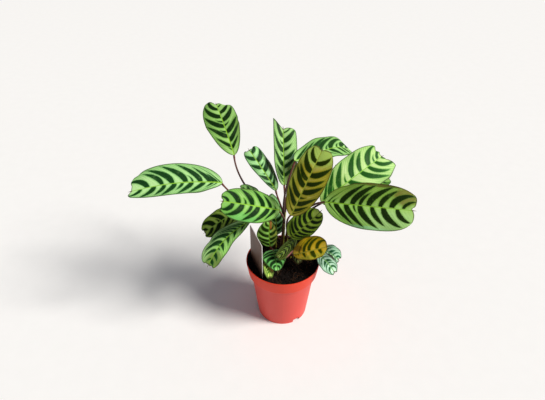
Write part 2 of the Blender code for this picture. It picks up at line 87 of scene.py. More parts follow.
camera = show("camera", bpy.data.cameras.new("camera"))
bpy.context.scene.camera = camera
camera.data.lens = LENS_MM
down = math.radians(VIEW_DOWN_DEGREES)
x, y, z = VIEW_TARGET
camera.location = (x, y - VIEW_DISTANCE * math.cos(down), z + VIEW_DISTANCE * math.sin(down))
camera.rotation_euler = (math.pi / 2 - down, 0, 0)
print("the camera stands at", [round(x, 3) for x in camera.location])

# %% [markdown]
# ## The floor and the light
#
# The plant stands in a bright white studio. One strong soft lamp, far off on the right, lights the
# leaves and the pot's right side, and leaves the pot's left side in shade. Because it is far off,
# the floor is as bright at the back as at the front. The room itself gives an even, weaker light.
# Colours are shown as they are, without a film curve, so that the greens stay those of a leaf.

# %% Build the floor, the lamp and the room light
KEY_PLACE = (1.15, -0.34, 1.15)
KEY_STRENGTH = 3.7
KEY_COLOUR = (1.0, 0.96, 0.91)
KEY_SOFTNESS_DEGREES = 24.0
ROOM_STRENGTH = 0.2
ROOM_COLOUR = (0.90, 0.95, 1.05, 1)
FLOOR_HALF = 4.0

key = bpy.data.lights.new("key_lamp", "SUN")
key.energy = KEY_STRENGTH
key.angle = math.radians(KEY_SOFTNESS_DEGREES)
key.color = KEY_COLOUR
key_stand = show("key_lamp", key)
key_stand.location = x, y, z = KEY_PLACE
tilt = math.atan2(math.hypot(x, y), z)
key_stand.rotation_euler = (tilt, 0, math.atan2(y, x) + math.pi / 2)

room = bpy.data.worlds.new("room")
bpy.context.scene.world = room
room.use_nodes = True
air = room.node_tree.nodes["Background"].inputs
air["Color"].default_value = ROOM_COLOUR
air["Strength"].default_value = ROOM_STRENGTH
bpy.context.scene.view_settings.view_transform = "Standard"

floor_mesh = bpy.data.meshes.new("floor")
corners = [(x * FLOOR_HALF, y * FLOOR_HALF, 0) for x, y in ((-1, -1), (1, -1), (1, 1), (-1, 1))]
floor_mesh.from_pydata(corners, [], [(0, 1, 2, 3)])
floor = show("floor", floor_mesh)
floor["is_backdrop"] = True
print("floor", 2 * FLOOR_HALF, "metres wide; the lamp leans", round(math.degrees(tilt)), "degrees")

# %% [markdown]
# ## Shader sums written as Python
#
# A finish is worked out from the place on the surface: how far a point lies from a blotch, from the
# midrib or from the margin. That is plain arithmetic, so a small class wraps a socket and turns
# Python's operators into Math nodes. Colours go through Mix nodes, because a Math node would turn
# them grey.

# %% A socket that can be calculated with
class Value:
    """A number that varies over a surface. Every operator adds the Math node that works it out."""

    def __init__(self, finish, socket):
        self.finish, self.socket = finish, socket

    def math(self, operation, *others):
        return self.finish.add("Math", {"operation": operation}, dict(enumerate((self, *others))))

    def __add__(self, other):
        return self.math("ADD", other)

    def __sub__(self, other):
        return self.math("SUBTRACT", other)

    def __mul__(self, other):
        return self.math("MULTIPLY", other)

    def __truediv__(self, other):
        return self.math("DIVIDE", other)

    def __rsub__(self, other):
        return self.finish.add("Math", {"operation": "SUBTRACT"}, {0: other, 1: self})

    __radd__ = __add__
    __rmul__ = __mul__

    def step(self, low, high):
        """0 where the number is at low, 1 where it is at high, and smooth in between."""
        limits = {"Value": self, "From Min": low, "From Max": high}
        return self.finish.add("MapRange", {"interpolation_type": "SMOOTHSTEP"}, limits)


# %% A finish, and the one method that adds any node
MM = 0.001


def paint(colour):
    """A colour as it is seen, each part from 0 to 255, turned into the light it sends back."""
    seen = np.array(colour) / 255
    light = np.where(seen <= 0.04045, seen / 12.92, ((seen + 0.055) / 1.055) ** 2.4)
    return (*light.tolist(), 1.0)


class Finish:
    """A material that is being built from nodes. Colours are given as they are seen."""

    def __init__(self, name):
        self.material = bpy.data.materials.new(name)
        self.material.use_nodes = True
        self.tree = self.material.node_tree
        self.shader = self.tree.nodes["Principled BSDF"]

    def put(self, value, socket):
        if isinstance(value, Value):
            self.tree.links.new(value.socket, socket)
        else:
            socket.default_value = paint(value) if isinstance(value, tuple) else value

    def add(self, kind, settings=None, sockets=None, output=0):
        node = self.tree.nodes.new("ShaderNode" + kind)
        for setting, value in (settings or {}).items():
            setattr(node, setting, value)
        for name, value in (sockets or {}).items():
            self.put(value, node.inputs[name])
        return Value(self, node.outputs[output])

    def mix(self, share, first, second):
        """From the first colour, at share 0, to the second, at share 1."""
        return self.add("Mix", {"data_type": "RGBA"}, {0: share, 6: first, 7: second}, 2)

    def place(self):
        """The point on the piece, in metres."""
        return self.add("TexCoord", output=3)

    def noise(self, scale, detail=2.0, roughness=0.5):
        """Cloudy noise, from 0 to 1. Its lumps are about 1 / scale metres across."""
        sockets = {"Vector": self.place(), "Scale": scale, "Detail": detail, "Roughness": roughness}
        return self.add("TexNoise", None, sockets)

    def parts(self, vector):
        """The three numbers of a vector."""
        first = self.add("SeparateXYZ", None, {0: vector}).socket
        return [Value(self, output) for output in first.node.outputs]

    def field(self, name):
        """The three numbers that the mesh keeps at each of its points under this name."""
        return self.parts(self.add("Attribute", {"attribute_name": name}, output=1))

    def bump(self, height_mm):
        """A normal that is tilted by small hills, whose height is in millimetres."""
        return self.add("Bump", None, {"Height": height_mm, "Distance": MM, "Strength": 1.0})

    def set(self, **sockets):
        for name, value in sockets.items():
            self.put(value, self.shader.inputs[name.replace("_", " ")])
        return self.material


# %% The floor's finish: matt white paper
floor_finish = Finish("white_paper")
grain = floor_finish.noise(40.0)
whites = floor_finish.mix(grain, (249, 249, 248), (253, 253, 252))
floor_mesh.materials.append(floor_finish.set(Base_Color=whites, Roughness=0.9))

# %% [markdown]
# ## Surfaces as arrays
#
# Each piece is a grid: its points are a function of two parameters, worked out for the whole grid at
# once. A piece may have several such parts, and each point can carry named fields, such as its
# distance from a blotch, which the finish reads.

# %% Turn grids into an object
def unit(vectors):
    """The vectors, or the one vector, brought to length 1."""
    vectors = np.asarray(vectors, float)
    return vectors / np.linalg.norm(vectors, axis=-1, keepdims=True)


def grid_faces(rows, columns, wrap=False):
    """The quads of a grid of points. With wrap, the last column is joined to the first."""
    i = np.arange(rows - 1)[:, None] * columns
    j = np.arange(columns if wrap else columns - 1)[None, :]
    k = (j + 1) % columns
    return np.stack([i + j, i + k, i + columns + k, i + columns + j], -1).reshape(-1, 4)


def tube_faces(rows, columns):
    """The faces of a tube of rings: its quads, and one face over each end."""
    last = range((rows - 1) * columns, rows * columns)
    return grid_faces(rows, columns, wrap=True).tolist() + [list(range(columns))[::-1], list(last)]


@dataclass
class Surface:
    """One part of a piece: points in millimetres, faces, fields, and each face's finish."""

    points: np.ndarray
    faces: list
    fields: dict
    finish: list


def make_piece(name, surfaces, finishes, node, sharp_degrees=50.0):
    """Join the surfaces in one object that stands for the named solid."""
    points = np.concatenate([part.points for part in surfaces]) * MM
    faces, chosen, first = [], [], 0
    for part in surfaces:
        faces += [[first + corner for corner in face] for face in part.faces]
        chosen += part.finish
        first += len(part.points)
    mesh = bpy.data.meshes.new(name)
    mesh.from_pydata(points.tolist(), [], faces)
    for field in surfaces[0].fields:
        kept = mesh.attributes.new(field, "FLOAT_VECTOR", "POINT")
        values = np.concatenate([part.fields[field] for part in surfaces])
        kept.data.foreach_set("vector", values.astype(np.float32).ravel())
    for finish in finishes:
        mesh.materials.append(finish)
    mesh.polygons.foreach_set("material_index", np.array(chosen, np.int32))
    mesh.shade_smooth()
    mesh.set_sharp_from_angle(angle=math.radians(sharp_degrees))
    mesh.update()
    piece = show(name, mesh)
    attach(piece, "root")
    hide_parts(node)
    return piece


# %% [markdown]
# ## The leaves' places and forms
#
# Every blade is worked out from a few plain facts: where its midrib starts and ends, how wide it is,
# how its halves fold up from the midrib and curl down to the margin, and how its tip is cut. The
# solids were made from the same facts, so the finer blades below lie on them.

# %% Name the facts of each leaf and shoot, in millimetres
@dataclass(frozen=True)
class Leaf:
    """One leaf: its blade from base to tip, and the stalk that carries it from a shoot."""

    name: str
    base: tuple  # where the blade starts
    tip: tuple  # where the midrib ends
    width: float  # across both halves
    up: tuple = (0, -0.7, 0.7)  # roughly where the patterned side faces
    arch: float = 6.0  # how far the midrib bows towards up
    sway: float = 0.0  # how far the midrib bows to the leaf's right
    peak: float = 0.5  # where along the midrib it bows most
    fold: tuple = (12, 12)  # degrees that the left and right halves rise at the midrib
    curl: tuple = (-25, -25)  # degrees that each half turns from midrib to margin
    wave: float = 1.5  # height of the margin's waves
    waves: float = 2.5  # waves along one margin
    phase: float = 0.0  # where the waves start, in degrees
    left_share: float = 0.5  # part of the width that is left of the midrib
    widest: float = 0.55  # where along the midrib it is widest
    base_blunt: float = 2.0
    tip_blunt: float = 3.0
    end: float = 0.5  # width at the very tip, as a part of the whole
    corner: tuple = (3.0, 3.0)  # how far the tip's left and right corners reach forward
    notch: float = 2.0  # depth of the notch in the tip
    age: str = "fresh"
    shoot: str = "main"
    start: tuple = (0, 0, 0)  # where the stalk leaves the shoot
    bends: tuple = ()  # the two points that pull the stalk's curve, where it isn't a plain one


@dataclass(frozen=True)
class Shoot:
    """One shoot: a cane that stands in the soil, as centres and radii from the root up."""

    name: str
    foot: tuple
    radius: float
    cane: tuple
    dry: tuple = ()  # an old flower stalk: its start, the two points that pull it, and its end


SHOOTS = (
    Shoot("main", (-1.2, 30), 3.4, (((0.3, 27.6, 135), 3.0), ((1.5, 25.8, 165), 2.4), ((2.4, 21, 190), 2.0))),
    Shoot("right", (6.8, 29.5), 2.8, (((6.4, 28.5, 125), 2.6), ((6.8, 27, 142), 2.4), ((8, 25, 158), 2.0)),
          dry=((8, 25, 154), (30, 46, 188), (71, 52, 230), (80.2, 46, 262))),
    Shoot("left", (-13, 36), 3.4, (((-15, 39, 130), 3.2), ((-21, 44, 160), 2.6), ((-27, 46, 182), 2.0))),
    Shoot("low_left", (-15, 15), 2.6, (((-16, 13, 112), 2.4), ((-17, 11, 119), 1.9))),
    Shoot("low_right", (12, 12), 2.8, (((13, 9, 112), 2.6), ((15, 5, 120), 2.0))),
)

LEAVES = (
    Leaf("tall_left", (-74, 40, 283), (-105, 112, 334), 52, up=(0.1, -0.7, 0.7), widest=0.6,
         base_blunt=1.35, end=0.6, left_share=0.53, corner=(9, -1), shoot="left", start=(-25, 45, 176),
         bends=((-46, 42, 200), (-75, 38, 246))),
    Leaf("far_left", (-90, 5, 257), (-218, -25, 261), 46, up=(-0.1, -0.75, 0.65), arch=5, sway=5,
         left_share=0.36, widest=0.5, base_blunt=1.8, tip_blunt=2.2, wave=2.4, waves=1.6, phase=40,
         corner=(5, -3), shoot="left", start=(-24, 45, 172), bends=((-54, 28, 190), (-85, 9, 239))),
    Leaf("rolled", (-11, 25, 229), (-53, 57, 283), 36, up=(0.1, -0.8, 0.6), curl=(-25, -90),
         left_share=0.37, widest=0.72, base_blunt=1.3, end=0.75, start=(1.9, 25, 170),
         bends=((2, 25, 190), (-10, 24, 214))),
    Leaf("pointed", (1, 30, 235), (-1, 72, 312), 37, up=(0, -0.8, 0.6), fold=(25, 25), curl=(-10, -50),
         left_share=0.42, widest=0.5, base_blunt=1.7, end=0.94, corner=(21, 2), start=(2.2, 22, 184),
         bends=((5, 23, 197), (1.5, 28, 216))),
    Leaf("arching_back", (15.5, 28, 281), (111, 92, 259), 44, up=(0, -0.29, 0.957), arch=15, peak=0.64,
         widest=0.5, curl=(-15, -40), left_share=0.6, end=0.35, start=(2.3, 21.8, 186),
         bends=((-4, 12, 215), (6, 16, 256))),
    Leaf("olive", (10, -28, 221), (52, -5, 318), 50, up=(-0.1, -0.8, 0.5), left_share=0.48, widest=0.58,
         end=0.55, age="olive", shoot="right", start=(7, 26.5, 148), bends=((5, 20, 168), (3.5, -12, 203))),
    Leaf("right_upper", (57, 5, 220), (152, 55, 273), 67, up=(-0.2, -0.7, 0.7), widest=0.58, base_blunt=1.7,
         end=0.7, corner=(8, 14), shoot="right", start=(8, 25, 155), bends=((14, 26, 176), (40, 18, 208))),
    Leaf("right_lower", (60, -8, 231), (181, -46, 243), 68, up=(0, -0.8, 0.6), arch=4, widest=0.52, end=0.6,
         corner=(6, 2), shoot="right", start=(7.6, 25.5, 152), bends=((12, 26, 172), (40, 16, 216))),
    Leaf("right_behind", (95, 25, 226), (168, 55, 232), 26, shoot="right", start=(8.2, 24.8, 156),
         bends=((24, 30, 180), (72, 24, 216))),
    Leaf("middle_left", (-6, -8, 216), (-88, -38, 254), 48.5, up=(0.1, -0.75, 0.65), left_share=0.525,
         start=(1.8, 25.8, 166), bends=((3, 12, 182), (-2, -2, 204))),
    Leaf("dark_left", (-62, 22, 198), (-123, -5, 170), 36, up=(-0.3, -0.7, 0.7), end=0.45, widest=0.6,
         left_share=0.46, age="shaded", shoot="left", start=(-21, 44, 160)),
    Leaf("lower_left", (-51, -12, 199), (-113, -58, 151), 36.5, up=(-0.3, -0.6, 0.8), sway=6, widest=0.68,
         base_blunt=1.35, end=0.68, left_share=0.44, corner=(2, 2), shoot="left", start=(-20, 43, 154),
         bends=((-30, 34, 182), (-42, 8, 208))),
    Leaf("behind_left", (-34, 27, 203), (-69, 30, 227), 25, up=(0.1, -0.7, 0.7), left_share=0.38,
         age="bluish", shoot="left", start=(-23, 45, 166), bends=((-34, 48, 180), (-33, 38, 194))),
    Leaf("curled", (-11, 31, 136), (-24, 41, 208), 26, up=(0, -0.95, 0.3), sway=5, left_share=0.42,
         start=(0.4, 29.2, 121), bends=((-1, 30, 129), (-9, 30, 126))),
    Leaf("centre", (-21, 6, 132), (-22, 16, 176), 34, up=(-0.1, -0.9, 0.4), left_share=0.6, tip_blunt=1.7,
         end=0.15, notch=0.5, age="shaded", shoot="low_left", start=(-16, 13, 113)),
    Leaf("under_olive", (11, 0, 157), (55, -5, 211), 41.5, up=(0.1, -0.85, 0.5), base_blunt=2.6,
         tip_blunt=2.3, end=0.28, notch=0.4, corner=(1.5, 1.5), left_share=0.57, age="shaded",
         shoot="right", start=(6.6, 28, 130), bends=((8, 20, 146), (7, 6, 151))),
    Leaf("yellow", (16, -16.2, 134.3), (66.5, -29.5, 163), 36, up=(0, -0.75, 0.65), left_share=0.61,
         base_blunt=1.5, corner=(1.5, -4), notch=0.3, age="yellowing", shoot="low_right", start=(14, 7, 116),
         bends=((14, 1, 122), (11, -8, 128))),
    Leaf("low_right_front", (55, -18, 138), (80, -39, 118), 27, up=(0.2, -0.7, 0.7), tip_blunt=1.8, end=0.3,
         age="bluish", shoot="low_right", start=(14, 8, 114), bends=((24, 0, 124), (44, -10, 140))),
    Leaf("low_right_back", (60, -5, 139), (88, -20, 127), 24, up=(0.2, -0.7, 0.7), end=0.4, left_share=0.6,
         age="bluish", shoot="low_right", start=(14, 8, 113), bends=((26, 6, 124), (46, 2, 140))),
    Leaf("front", (-16, 4, 127), (-9, -40, 122), 41, up=(0, -0.4, 0.9), tip_blunt=1.1, end=0.06,
         widest=0.44, notch=0.3, corner=(0, 0), left_share=0.48, age="bluish", shoot="low_left",
         start=(-16, 12, 116)),
    Leaf("dark_small", (21, 13, 146), (-9, -27, 139), 20, up=(0.3, -0.6, 0.6), base_blunt=1.5,
         left_share=0.57, age="shaded", shoot="low_right", start=(14, 7, 116),
         bends=((15, 9, 126), (22, 16, 138))),
    Leaf("on_soil", (-28, -17, 121), (-21, -41, 110), 17, up=(0.2, -0.5, 0.8), end=0.35, notch=0.4,
         wave=0.8, age="yellowing", shoot="low_left", start=(-16, 13, 111),
         bends=((-20, 6, 116), (-28, -8, 125))),
    Leaf("withered", (18, -2, 121), (27, -15, 116.5), 15, up=(0.1, -0.5, 0.8), wave=1.2, age="withered",
         shoot="low_right", start=(14, 9, 111), bends=((16, 6, 115), (16, 2, 121))),
)

print(len(LEAVES), "leaves on", len(SHOOTS), "shoots")

# %% [markdown]
# ## The form of a blade
#
# A ctenanthe's blade is a long oval that is blunt at its tip. It could be sculpted, or bent from a
# flat sheet by modifiers. Here its surface is a formula, because the markings must follow the same
# two directions as the form: along the midrib, and out to the margin.

# %% Work out a blade's surface
BLADE_THICKNESS = 0.8
MARGIN_THICKNESS = 0.35
KEEL = 1.6
KEEL_REACH = 1.5
KEEL_TAPER = 0.75
NECK = 1.2
SWELL_POWER = 0.35
LEFT_WAVE_SHIFT = 1.3
TIP_START = 0.75
CORNER_POWER = 1.4
NOTCH_REACH = 0.4
TIP_ROUNDING = 0.14
ROW_EVENNESS = 0.6
OUTLINE_ROUNDNESS = 0.55
LEAST_CURL = 1e-4


def half_width(leaf, along):
    """Half of the blade's width as a part of the whole half: round at the base, blunt at the tip."""
    reach = (1 - leaf.end ** (1 / OUTLINE_ROUNDNESS)) ** (-1 / leaf.tip_blunt)
    near = np.clip((leaf.widest - along) / leaf.widest, 0, 1) ** leaf.base_blunt
    far = np.clip((along - leaf.widest) / (1 - leaf.widest) / reach, 0, 1) ** leaf.tip_blunt
    return (1 - np.where(along < leaf.widest, near, far)) ** OUTLINE_ROUNDNESS


def midrib(leaf, along):
    """Points of the midrib, with the way it runs, the way the blade faces and the way to its right."""
    base, tip = np.array(leaf.base, float), np.array(leaf.tip, float)
    chord = tip - base
    up = np.array(leaf.up, float)
    up = unit(up - (up @ unit(chord)) * unit(chord))
    side = np.cross(unit(chord), up)
    power = math.log(0.5) / math.log(leaf.peak)
    place = np.clip(along, 1e-3, 1) ** power
    bow = np.where(along > 0, np.sin(math.pi * place), 0)
    slope = math.pi * np.cos(math.pi * place) * power * np.clip(along, 1e-3, 1) ** (power - 1)
    bend = leaf.arch * up + leaf.sway * side
    points = base + along[:, None] * chord + bow[:, None] * bend
    ahead = unit(chord + slope[:, None] * bend)
    normal = unit(up - (ahead @ up)[:, None] * ahead)
    return points, ahead, normal, np.cross(ahead, normal)


def halves(leaf, along, v):
    """Each half's width in millimetres, and the part of it that the outline fills, row by row."""
    half = leaf.width * np.where(v < 0, leaf.left_share, 1 - leaf.left_share)
    return half, np.maximum(half_width(leaf, along)[:, None], NECK / half)


def blade_surface(leaf, along, across):
    """The blade's upper side on a grid: along runs from 0 to 1, across from -1 (left) to 1 (right)."""
    points, ahead, normal, right = midrib(leaf, along)
    u, v = along[:, None], across[None, :]
    left = v < 0
    half, filled = halves(leaf, along, v)
    turn = np.abs(v) * filled
    swell = np.sin(math.pi * u) ** SWELL_POWER
    fold = np.radians(np.where(left, *leaf.fold)) * np.clip(swell, 0, 1)
    curl = np.radians(np.where(left, *leaf.curl)) + LEAST_CURL
    out = half * (np.sin(fold + curl * turn) - np.sin(fold)) / curl * np.sign(v)
    lift = half * (np.cos(fold) - np.cos(fold + curl * turn)) / curl
    shift = math.radians(leaf.phase) + np.where(left, LEFT_WAVE_SHIFT, 0)
    ripple = np.sin(2 * math.pi * leaf.waves * u + shift)
    lift = lift + leaf.wave * v ** 2 * ripple * np.sqrt(np.clip(np.sin(math.pi * u), 0, 1))
    near_tip = np.clip((u - TIP_START) / (1 - TIP_START), 0, 1) ** 2
    corner = np.where(left, *leaf.corner) * np.abs(v) ** CORNER_POWER
    notch = leaf.notch * np.clip(1 - np.abs(v) / NOTCH_REACH, 0, 1) ** 2
    rounding = TIP_ROUNDING * leaf.end * leaf.width * v ** 4
    forward = near_tip * (corner - notch - rounding)
    steps = (right[:, None] * out[..., None], normal[:, None] * lift[..., None],
             ahead[:, None] * forward[..., None])
    return points[:, None] + sum(steps), out


# %% [markdown]
# ## The markings
#
# Each half of a blade carries a row of dark blotches. A blotch starts at the midrib and sweeps
# outwards and towards the tip: both of its edges bow out, the near one more, and they meet in a
# point by the margin. Large blotches take turns with small ones, and the two halves don't match.
# They could be painted by hand on a flattened leaf. Here each half's row is a short list: where a
# blotch leaves the midrib, in millimetres from the leaf's base, and its kind. L is a large blotch,
# M a middling one, m a short one, s a small one by the midrib, and t a thin streak. B and b are
# blunt ones, d is a drop, and n and w are a narrow and a wide stripe that keep their width. The
# sweep is how far forward a large blotch's point lies, in millimetres. A leaf's entry is its left
# row, its right row, which is empty where it is the same, its two sweeps, and, where the blotches
# don't reach all the way out, the part of the way that they do on each side.

# %% Write down the markings of each leaf
MARKINGS = {
    "tall_left": ("8s 13M 28L 37s 45L 55s 63L 79M", "10M 21L 35L 48s 56L 71M 85s", 28, 26),
    "far_left": ("8t 13m 25L 42L 56m 66L 81M 95L 115M", "3t 7m 12m 17M 29L 42s 50L 69L 84M 104L",
        26, 36, 1.0, 0.98),
    "rolled": ("4t 8M 20L 30s 40L 56L", "8M 18M 33L 43s 51L 67M", 15, 22),
    "pointed": ("5t 9t 15M 30L 44s 51L 63s 73L", "14M 27M 39M 53m 65L 80t", 30, 23),
    "arching_back": ("4M 16M 28L 42L 56s 62L 76s 84L 98M", "8M 22L 38M 53t 60L 76M 86M 96t 104m", 46, 22),
    "olive": ("8t 17L 31L 48L 59M 71L 87M", "3t 8M 19L 31s 39L 53M 66L 85M", 28, 24),
    "right_upper": ("5M 15L 24s 33L 47s 58L 74M 90L 102s 109m", "7t 18M 33L 50L 73L 88M 102M 116s",
        32, 32, 1.0, 0.98),
    "right_lower": ("5t 11s 22L 38L 50m 61L 78M 93L 111m", "6t 14L 29L 42s 49L 67M 82L 102M",
        36, 32, 0.98, 0.96),
    "right_behind": ("6n 14n 22n 30n 38n 46n 54n 62n", "", 22, 22),
    "middle_left": ("8M 20L 37L 49m 62L 77M", "7s 16M 29L 47L 59s 68L 85m", 28, 23),
    "dark_left": ("10M 24M 35s 41L 56M", "9L 21M 33L 42s 50L 65m", 28, 20),
    "lower_left": ("9d 24d 38d 51d 61s 69d 80d", "4t 10n 16t 22n 29t 35M 42t 50M 57t 65m 80s", 12, 38),
    "behind_left": ("5M 14M 24M 33m", "", 15, 15),
    "curled": ("6M 17M 28M 40M 53m", "", 19, 19),
    "centre": ("3w 11w 20w 29w 37n", "6w 14w 23w 32n", 12, 12),
    "under_olive": ("4n 11w 20w 30w 40w 50w", "2n 9w 18w 27w 37w 48w 58n", 24, 16),
    "yellow": ("12t 20w 29w 42w", "4s 9s 18b 32B 45b", 28, 5),
    "low_right_front": ("2t 8t 14m 20t 26n", "", 16, 16),
    "low_right_back": ("2t 8t 14m 21t 27n", "2t 8t 14n 20t 26t", 16, 16),
    "front": ("3w 11w 19w 28w 36n", "4w 12w 20w 28w 35n", 13, 12),
    "dark_small": ("1n 9n 17n 25n 33n 41n", "", 36, 34),
    "on_soil": ("1t 5n 10n 15t 19t", "1t 5t 10t 15t 19t", 15, 15),
    "withered": ("4t 9t", "", 8, 8),
}


# %% Name the kinds of blotch
# Each is its width at the midrib, its part of the sweep, the part of the half that it crosses, its
# bulge, which is how much thicker it gets on the way, and the power of its end. A large power keeps
# the width until near the point.
BLOTCHES = {
    "L": (6.2, 1.0, 0.96, 1.0, 2.4),
    "M": (4.8, 0.72, 0.84, 1.0, 2.4),
    "m": (4.0, 0.48, 0.62, 0.8, 2.4),
    "s": (2.6, 0.22, 0.36, 0.6, 1.5),
    "t": (1.9, 0.85, 0.88, 0.2, 2.4),
    "B": (6.6, 1.0, 0.9, 0.5, 5.0),
    "b": (4.6, 0.8, 0.66, 0.5, 4.0),
    "d": (6.0, 0.9, 0.68, 0.7, 1.8),
    "n": (2.8, 0.95, 0.93, 0.25, 5.0),
    "w": (4.4, 0.92, 0.96, 0.45, 5.0),
}

# %% Work out how far a point lies from the nearest blotch
MIDRIB_GAP = 0.55
BLUNTNESS = 0.8
STEEPEST = 3.0
NEAR_POWER = 2.5
FAR_POWER = 1.45


def vein_place(run, lateral, half, sweep):
    """Where the side vein through a point leaves the midrib: veins rise by sweep x (t + t * t) / 2."""
    t = lateral / half
    return run - sweep * (t + t * t) / 2


def blotch_distance(row, sweep, reach_part, run, lateral, half, share):
    """Millimetres from the edge of a row's nearest blotch, negative inside it.

    With t from 0 at the midrib to 1 at the blotch's point, the near edge rises by
    forward x t ^ 2.5. The far edge lies beyond it by
    width x (1 - t ^ end) + bulge x forward x (t ^ 1.45 - t ^ 2.5).
    """
    starts = np.array([float(word[:-1]) for word in row.split()])
    width, lift, reach, bulge, end = np.array([BLOTCHES[word[-1]] for word in row.split()]).T
    forward = sweep * lift
    reach = reach_part * reach
    t = share[..., None] / reach
    inside = np.clip(t, 1e-3, 1)
    span = reach * half[..., None]
    above = run[..., None] - starts
    near_slope = np.clip(forward * NEAR_POWER * inside ** (NEAR_POWER - 1) / span, 0, STEEPEST)
    far_rise = forward * (bulge * inside ** FAR_POWER + (1 - bulge) * inside ** NEAR_POWER)
    middle_slope = np.clip(forward * FAR_POWER * inside ** (FAR_POWER - 1) / span, 0, STEEPEST)
    far_slope = bulge * middle_slope + (1 - bulge) * near_slope
    near = (forward * inside ** NEAR_POWER - above) / np.sqrt(1 + near_slope ** 2)
    far = (above - width * (1 - inside ** end) - far_rise) / np.sqrt(1 + far_slope ** 2)
    edge = np.where(t < 1, np.maximum(near, far), np.hypot((t - 1) * span, above - forward)) + BLUNTNESS
    inner = (MIDRIB_GAP - lateral)[..., None] + BLUNTNESS
    corner = np.hypot(np.maximum(edge, 0), np.maximum(inner, 0))
    distance = np.minimum(np.maximum(edge, inner), 0) + corner - BLUNTNESS
    return distance.min(-1)


# %% [markdown]
# ## Torn edges
#
# Old blades are nicked and torn, most of all at their tips. A tear could be cut out of the mesh. It
# is simpler to push the edge of the grid back in a smooth bite, because the sheet stays closed.
# Each bite has a side, a place, a depth in millimetres, which is negative for a lobe, and half its
# width. At the tip (side 0) its place is a part of the half width, from -1 (left) to 1 (right). On
# the left side (-1) or the right side (1) it is a distance along the midrib.

# %% Name the bites out of each blade
BITES = {
    "right_upper": ((0, -0.58, 5.0, 0.2), (0, -0.2, 2.0, 0.08), (0, 0.3, 1.5, 0.1), (1, 104, -3.0, 9)),
    "right_lower": ((0, -0.12, 2.5, 0.1), (-1, 30, 0.8, 6), (-1, 48, 0.7, 4)),
    "tall_left": ((0, 0.72, 5.5, 0.3), (0, -0.5, -3.5, 0.3), (0, -0.12, 1.2, 0.08), (1, 52, 1.2, 4)),
    "far_left": ((0, 0.4, 3.0, 0.3), (0, -0.6, -2.0, 0.3), (1, 118, 1.5, 6), (-1, 34, -1.5, 12)),
    "rolled": ((0, -0.4, 2.0, 0.15), (0, 0.3, 1.5, 0.1)),
    "middle_left": ((0, 0.2, 1.5, 0.1), (0, -0.6, 1.2, 0.15)),
    "dark_left": ((0, -0.35, 1.5, 0.12), (0, 0.4, 1.5, 0.12)),
    "lower_left": ((0, -0.5, 2.5, 0.2), (0, 0.35, 1.8, 0.12), (1, 62, 1.2, 5)),
    "behind_left": ((0, 0.5, 2.0, 0.15),),
    "olive": ((0, -0.25, 1.2, 0.1),),
    "low_right_back": ((0, -0.4, 1.5, 0.15),),
}


def bitten(leaf, top, along, across, length):
    """The grid with its edges pushed back: each bite is a bell curve that dies away inwards."""
    _, ahead, _, right = midrib(leaf, along)
    u, v = along[:, None], across[None, :]
    near_tip = np.clip((u - TIP_START) / (1 - TIP_START), 0, 1) ** 3
    for side, place, depth, wide in BITES.get(leaf.name, ()):
        if side == 0:
            bell = depth * near_tip * np.exp(-((v - place) / wide) ** 2)
            top = top - ahead[:, None] * bell[..., None]
        else:
            outer = np.clip(v * side, 0, 1) ** 5
            bell = depth * outer * np.exp(-((u * length - place) / wide) ** 2)
            top = top - side * right[:, None] * bell[..., None]
    return top


# %% [markdown]
# ## A blade with two faces
#
# A real blade is under a millimetre thick, with a keel under its midrib, a groove over it, and a
# quilted face, because the leaf swells between its side veins. The upper grid gets that relief, the
# lower grid follows it at the blade's thickness, and a strip joins their edges.

# %% Build one blade
LONG_ROWS, LONG_COLUMNS = 108, 52
SHORT_ROWS, SHORT_COLUMNS = 64, 36
SHORT_BLADE = 70.0
QUILT_HEIGHT = 0.22
QUILT_PITCH = 5.2
GROOVE_DEPTH = 0.35
GROOVE_REACH = 1.1
GROOVE_TAPER = 0.7
POINT_LENGTH = 5.0
POINT_RADIUS = 0.8
POINT_ROWS, POINT_SIDES = 6, 8


def edge_strip(rows, columns):
    """The numbers of a grid's edge points, once round."""
    numbers = np.arange(rows * columns).reshape(rows, columns)
    return np.concatenate([numbers[0, :-1], numbers[:-1, -1], numbers[-1, :0:-1], numbers[:0:-1, 0]])


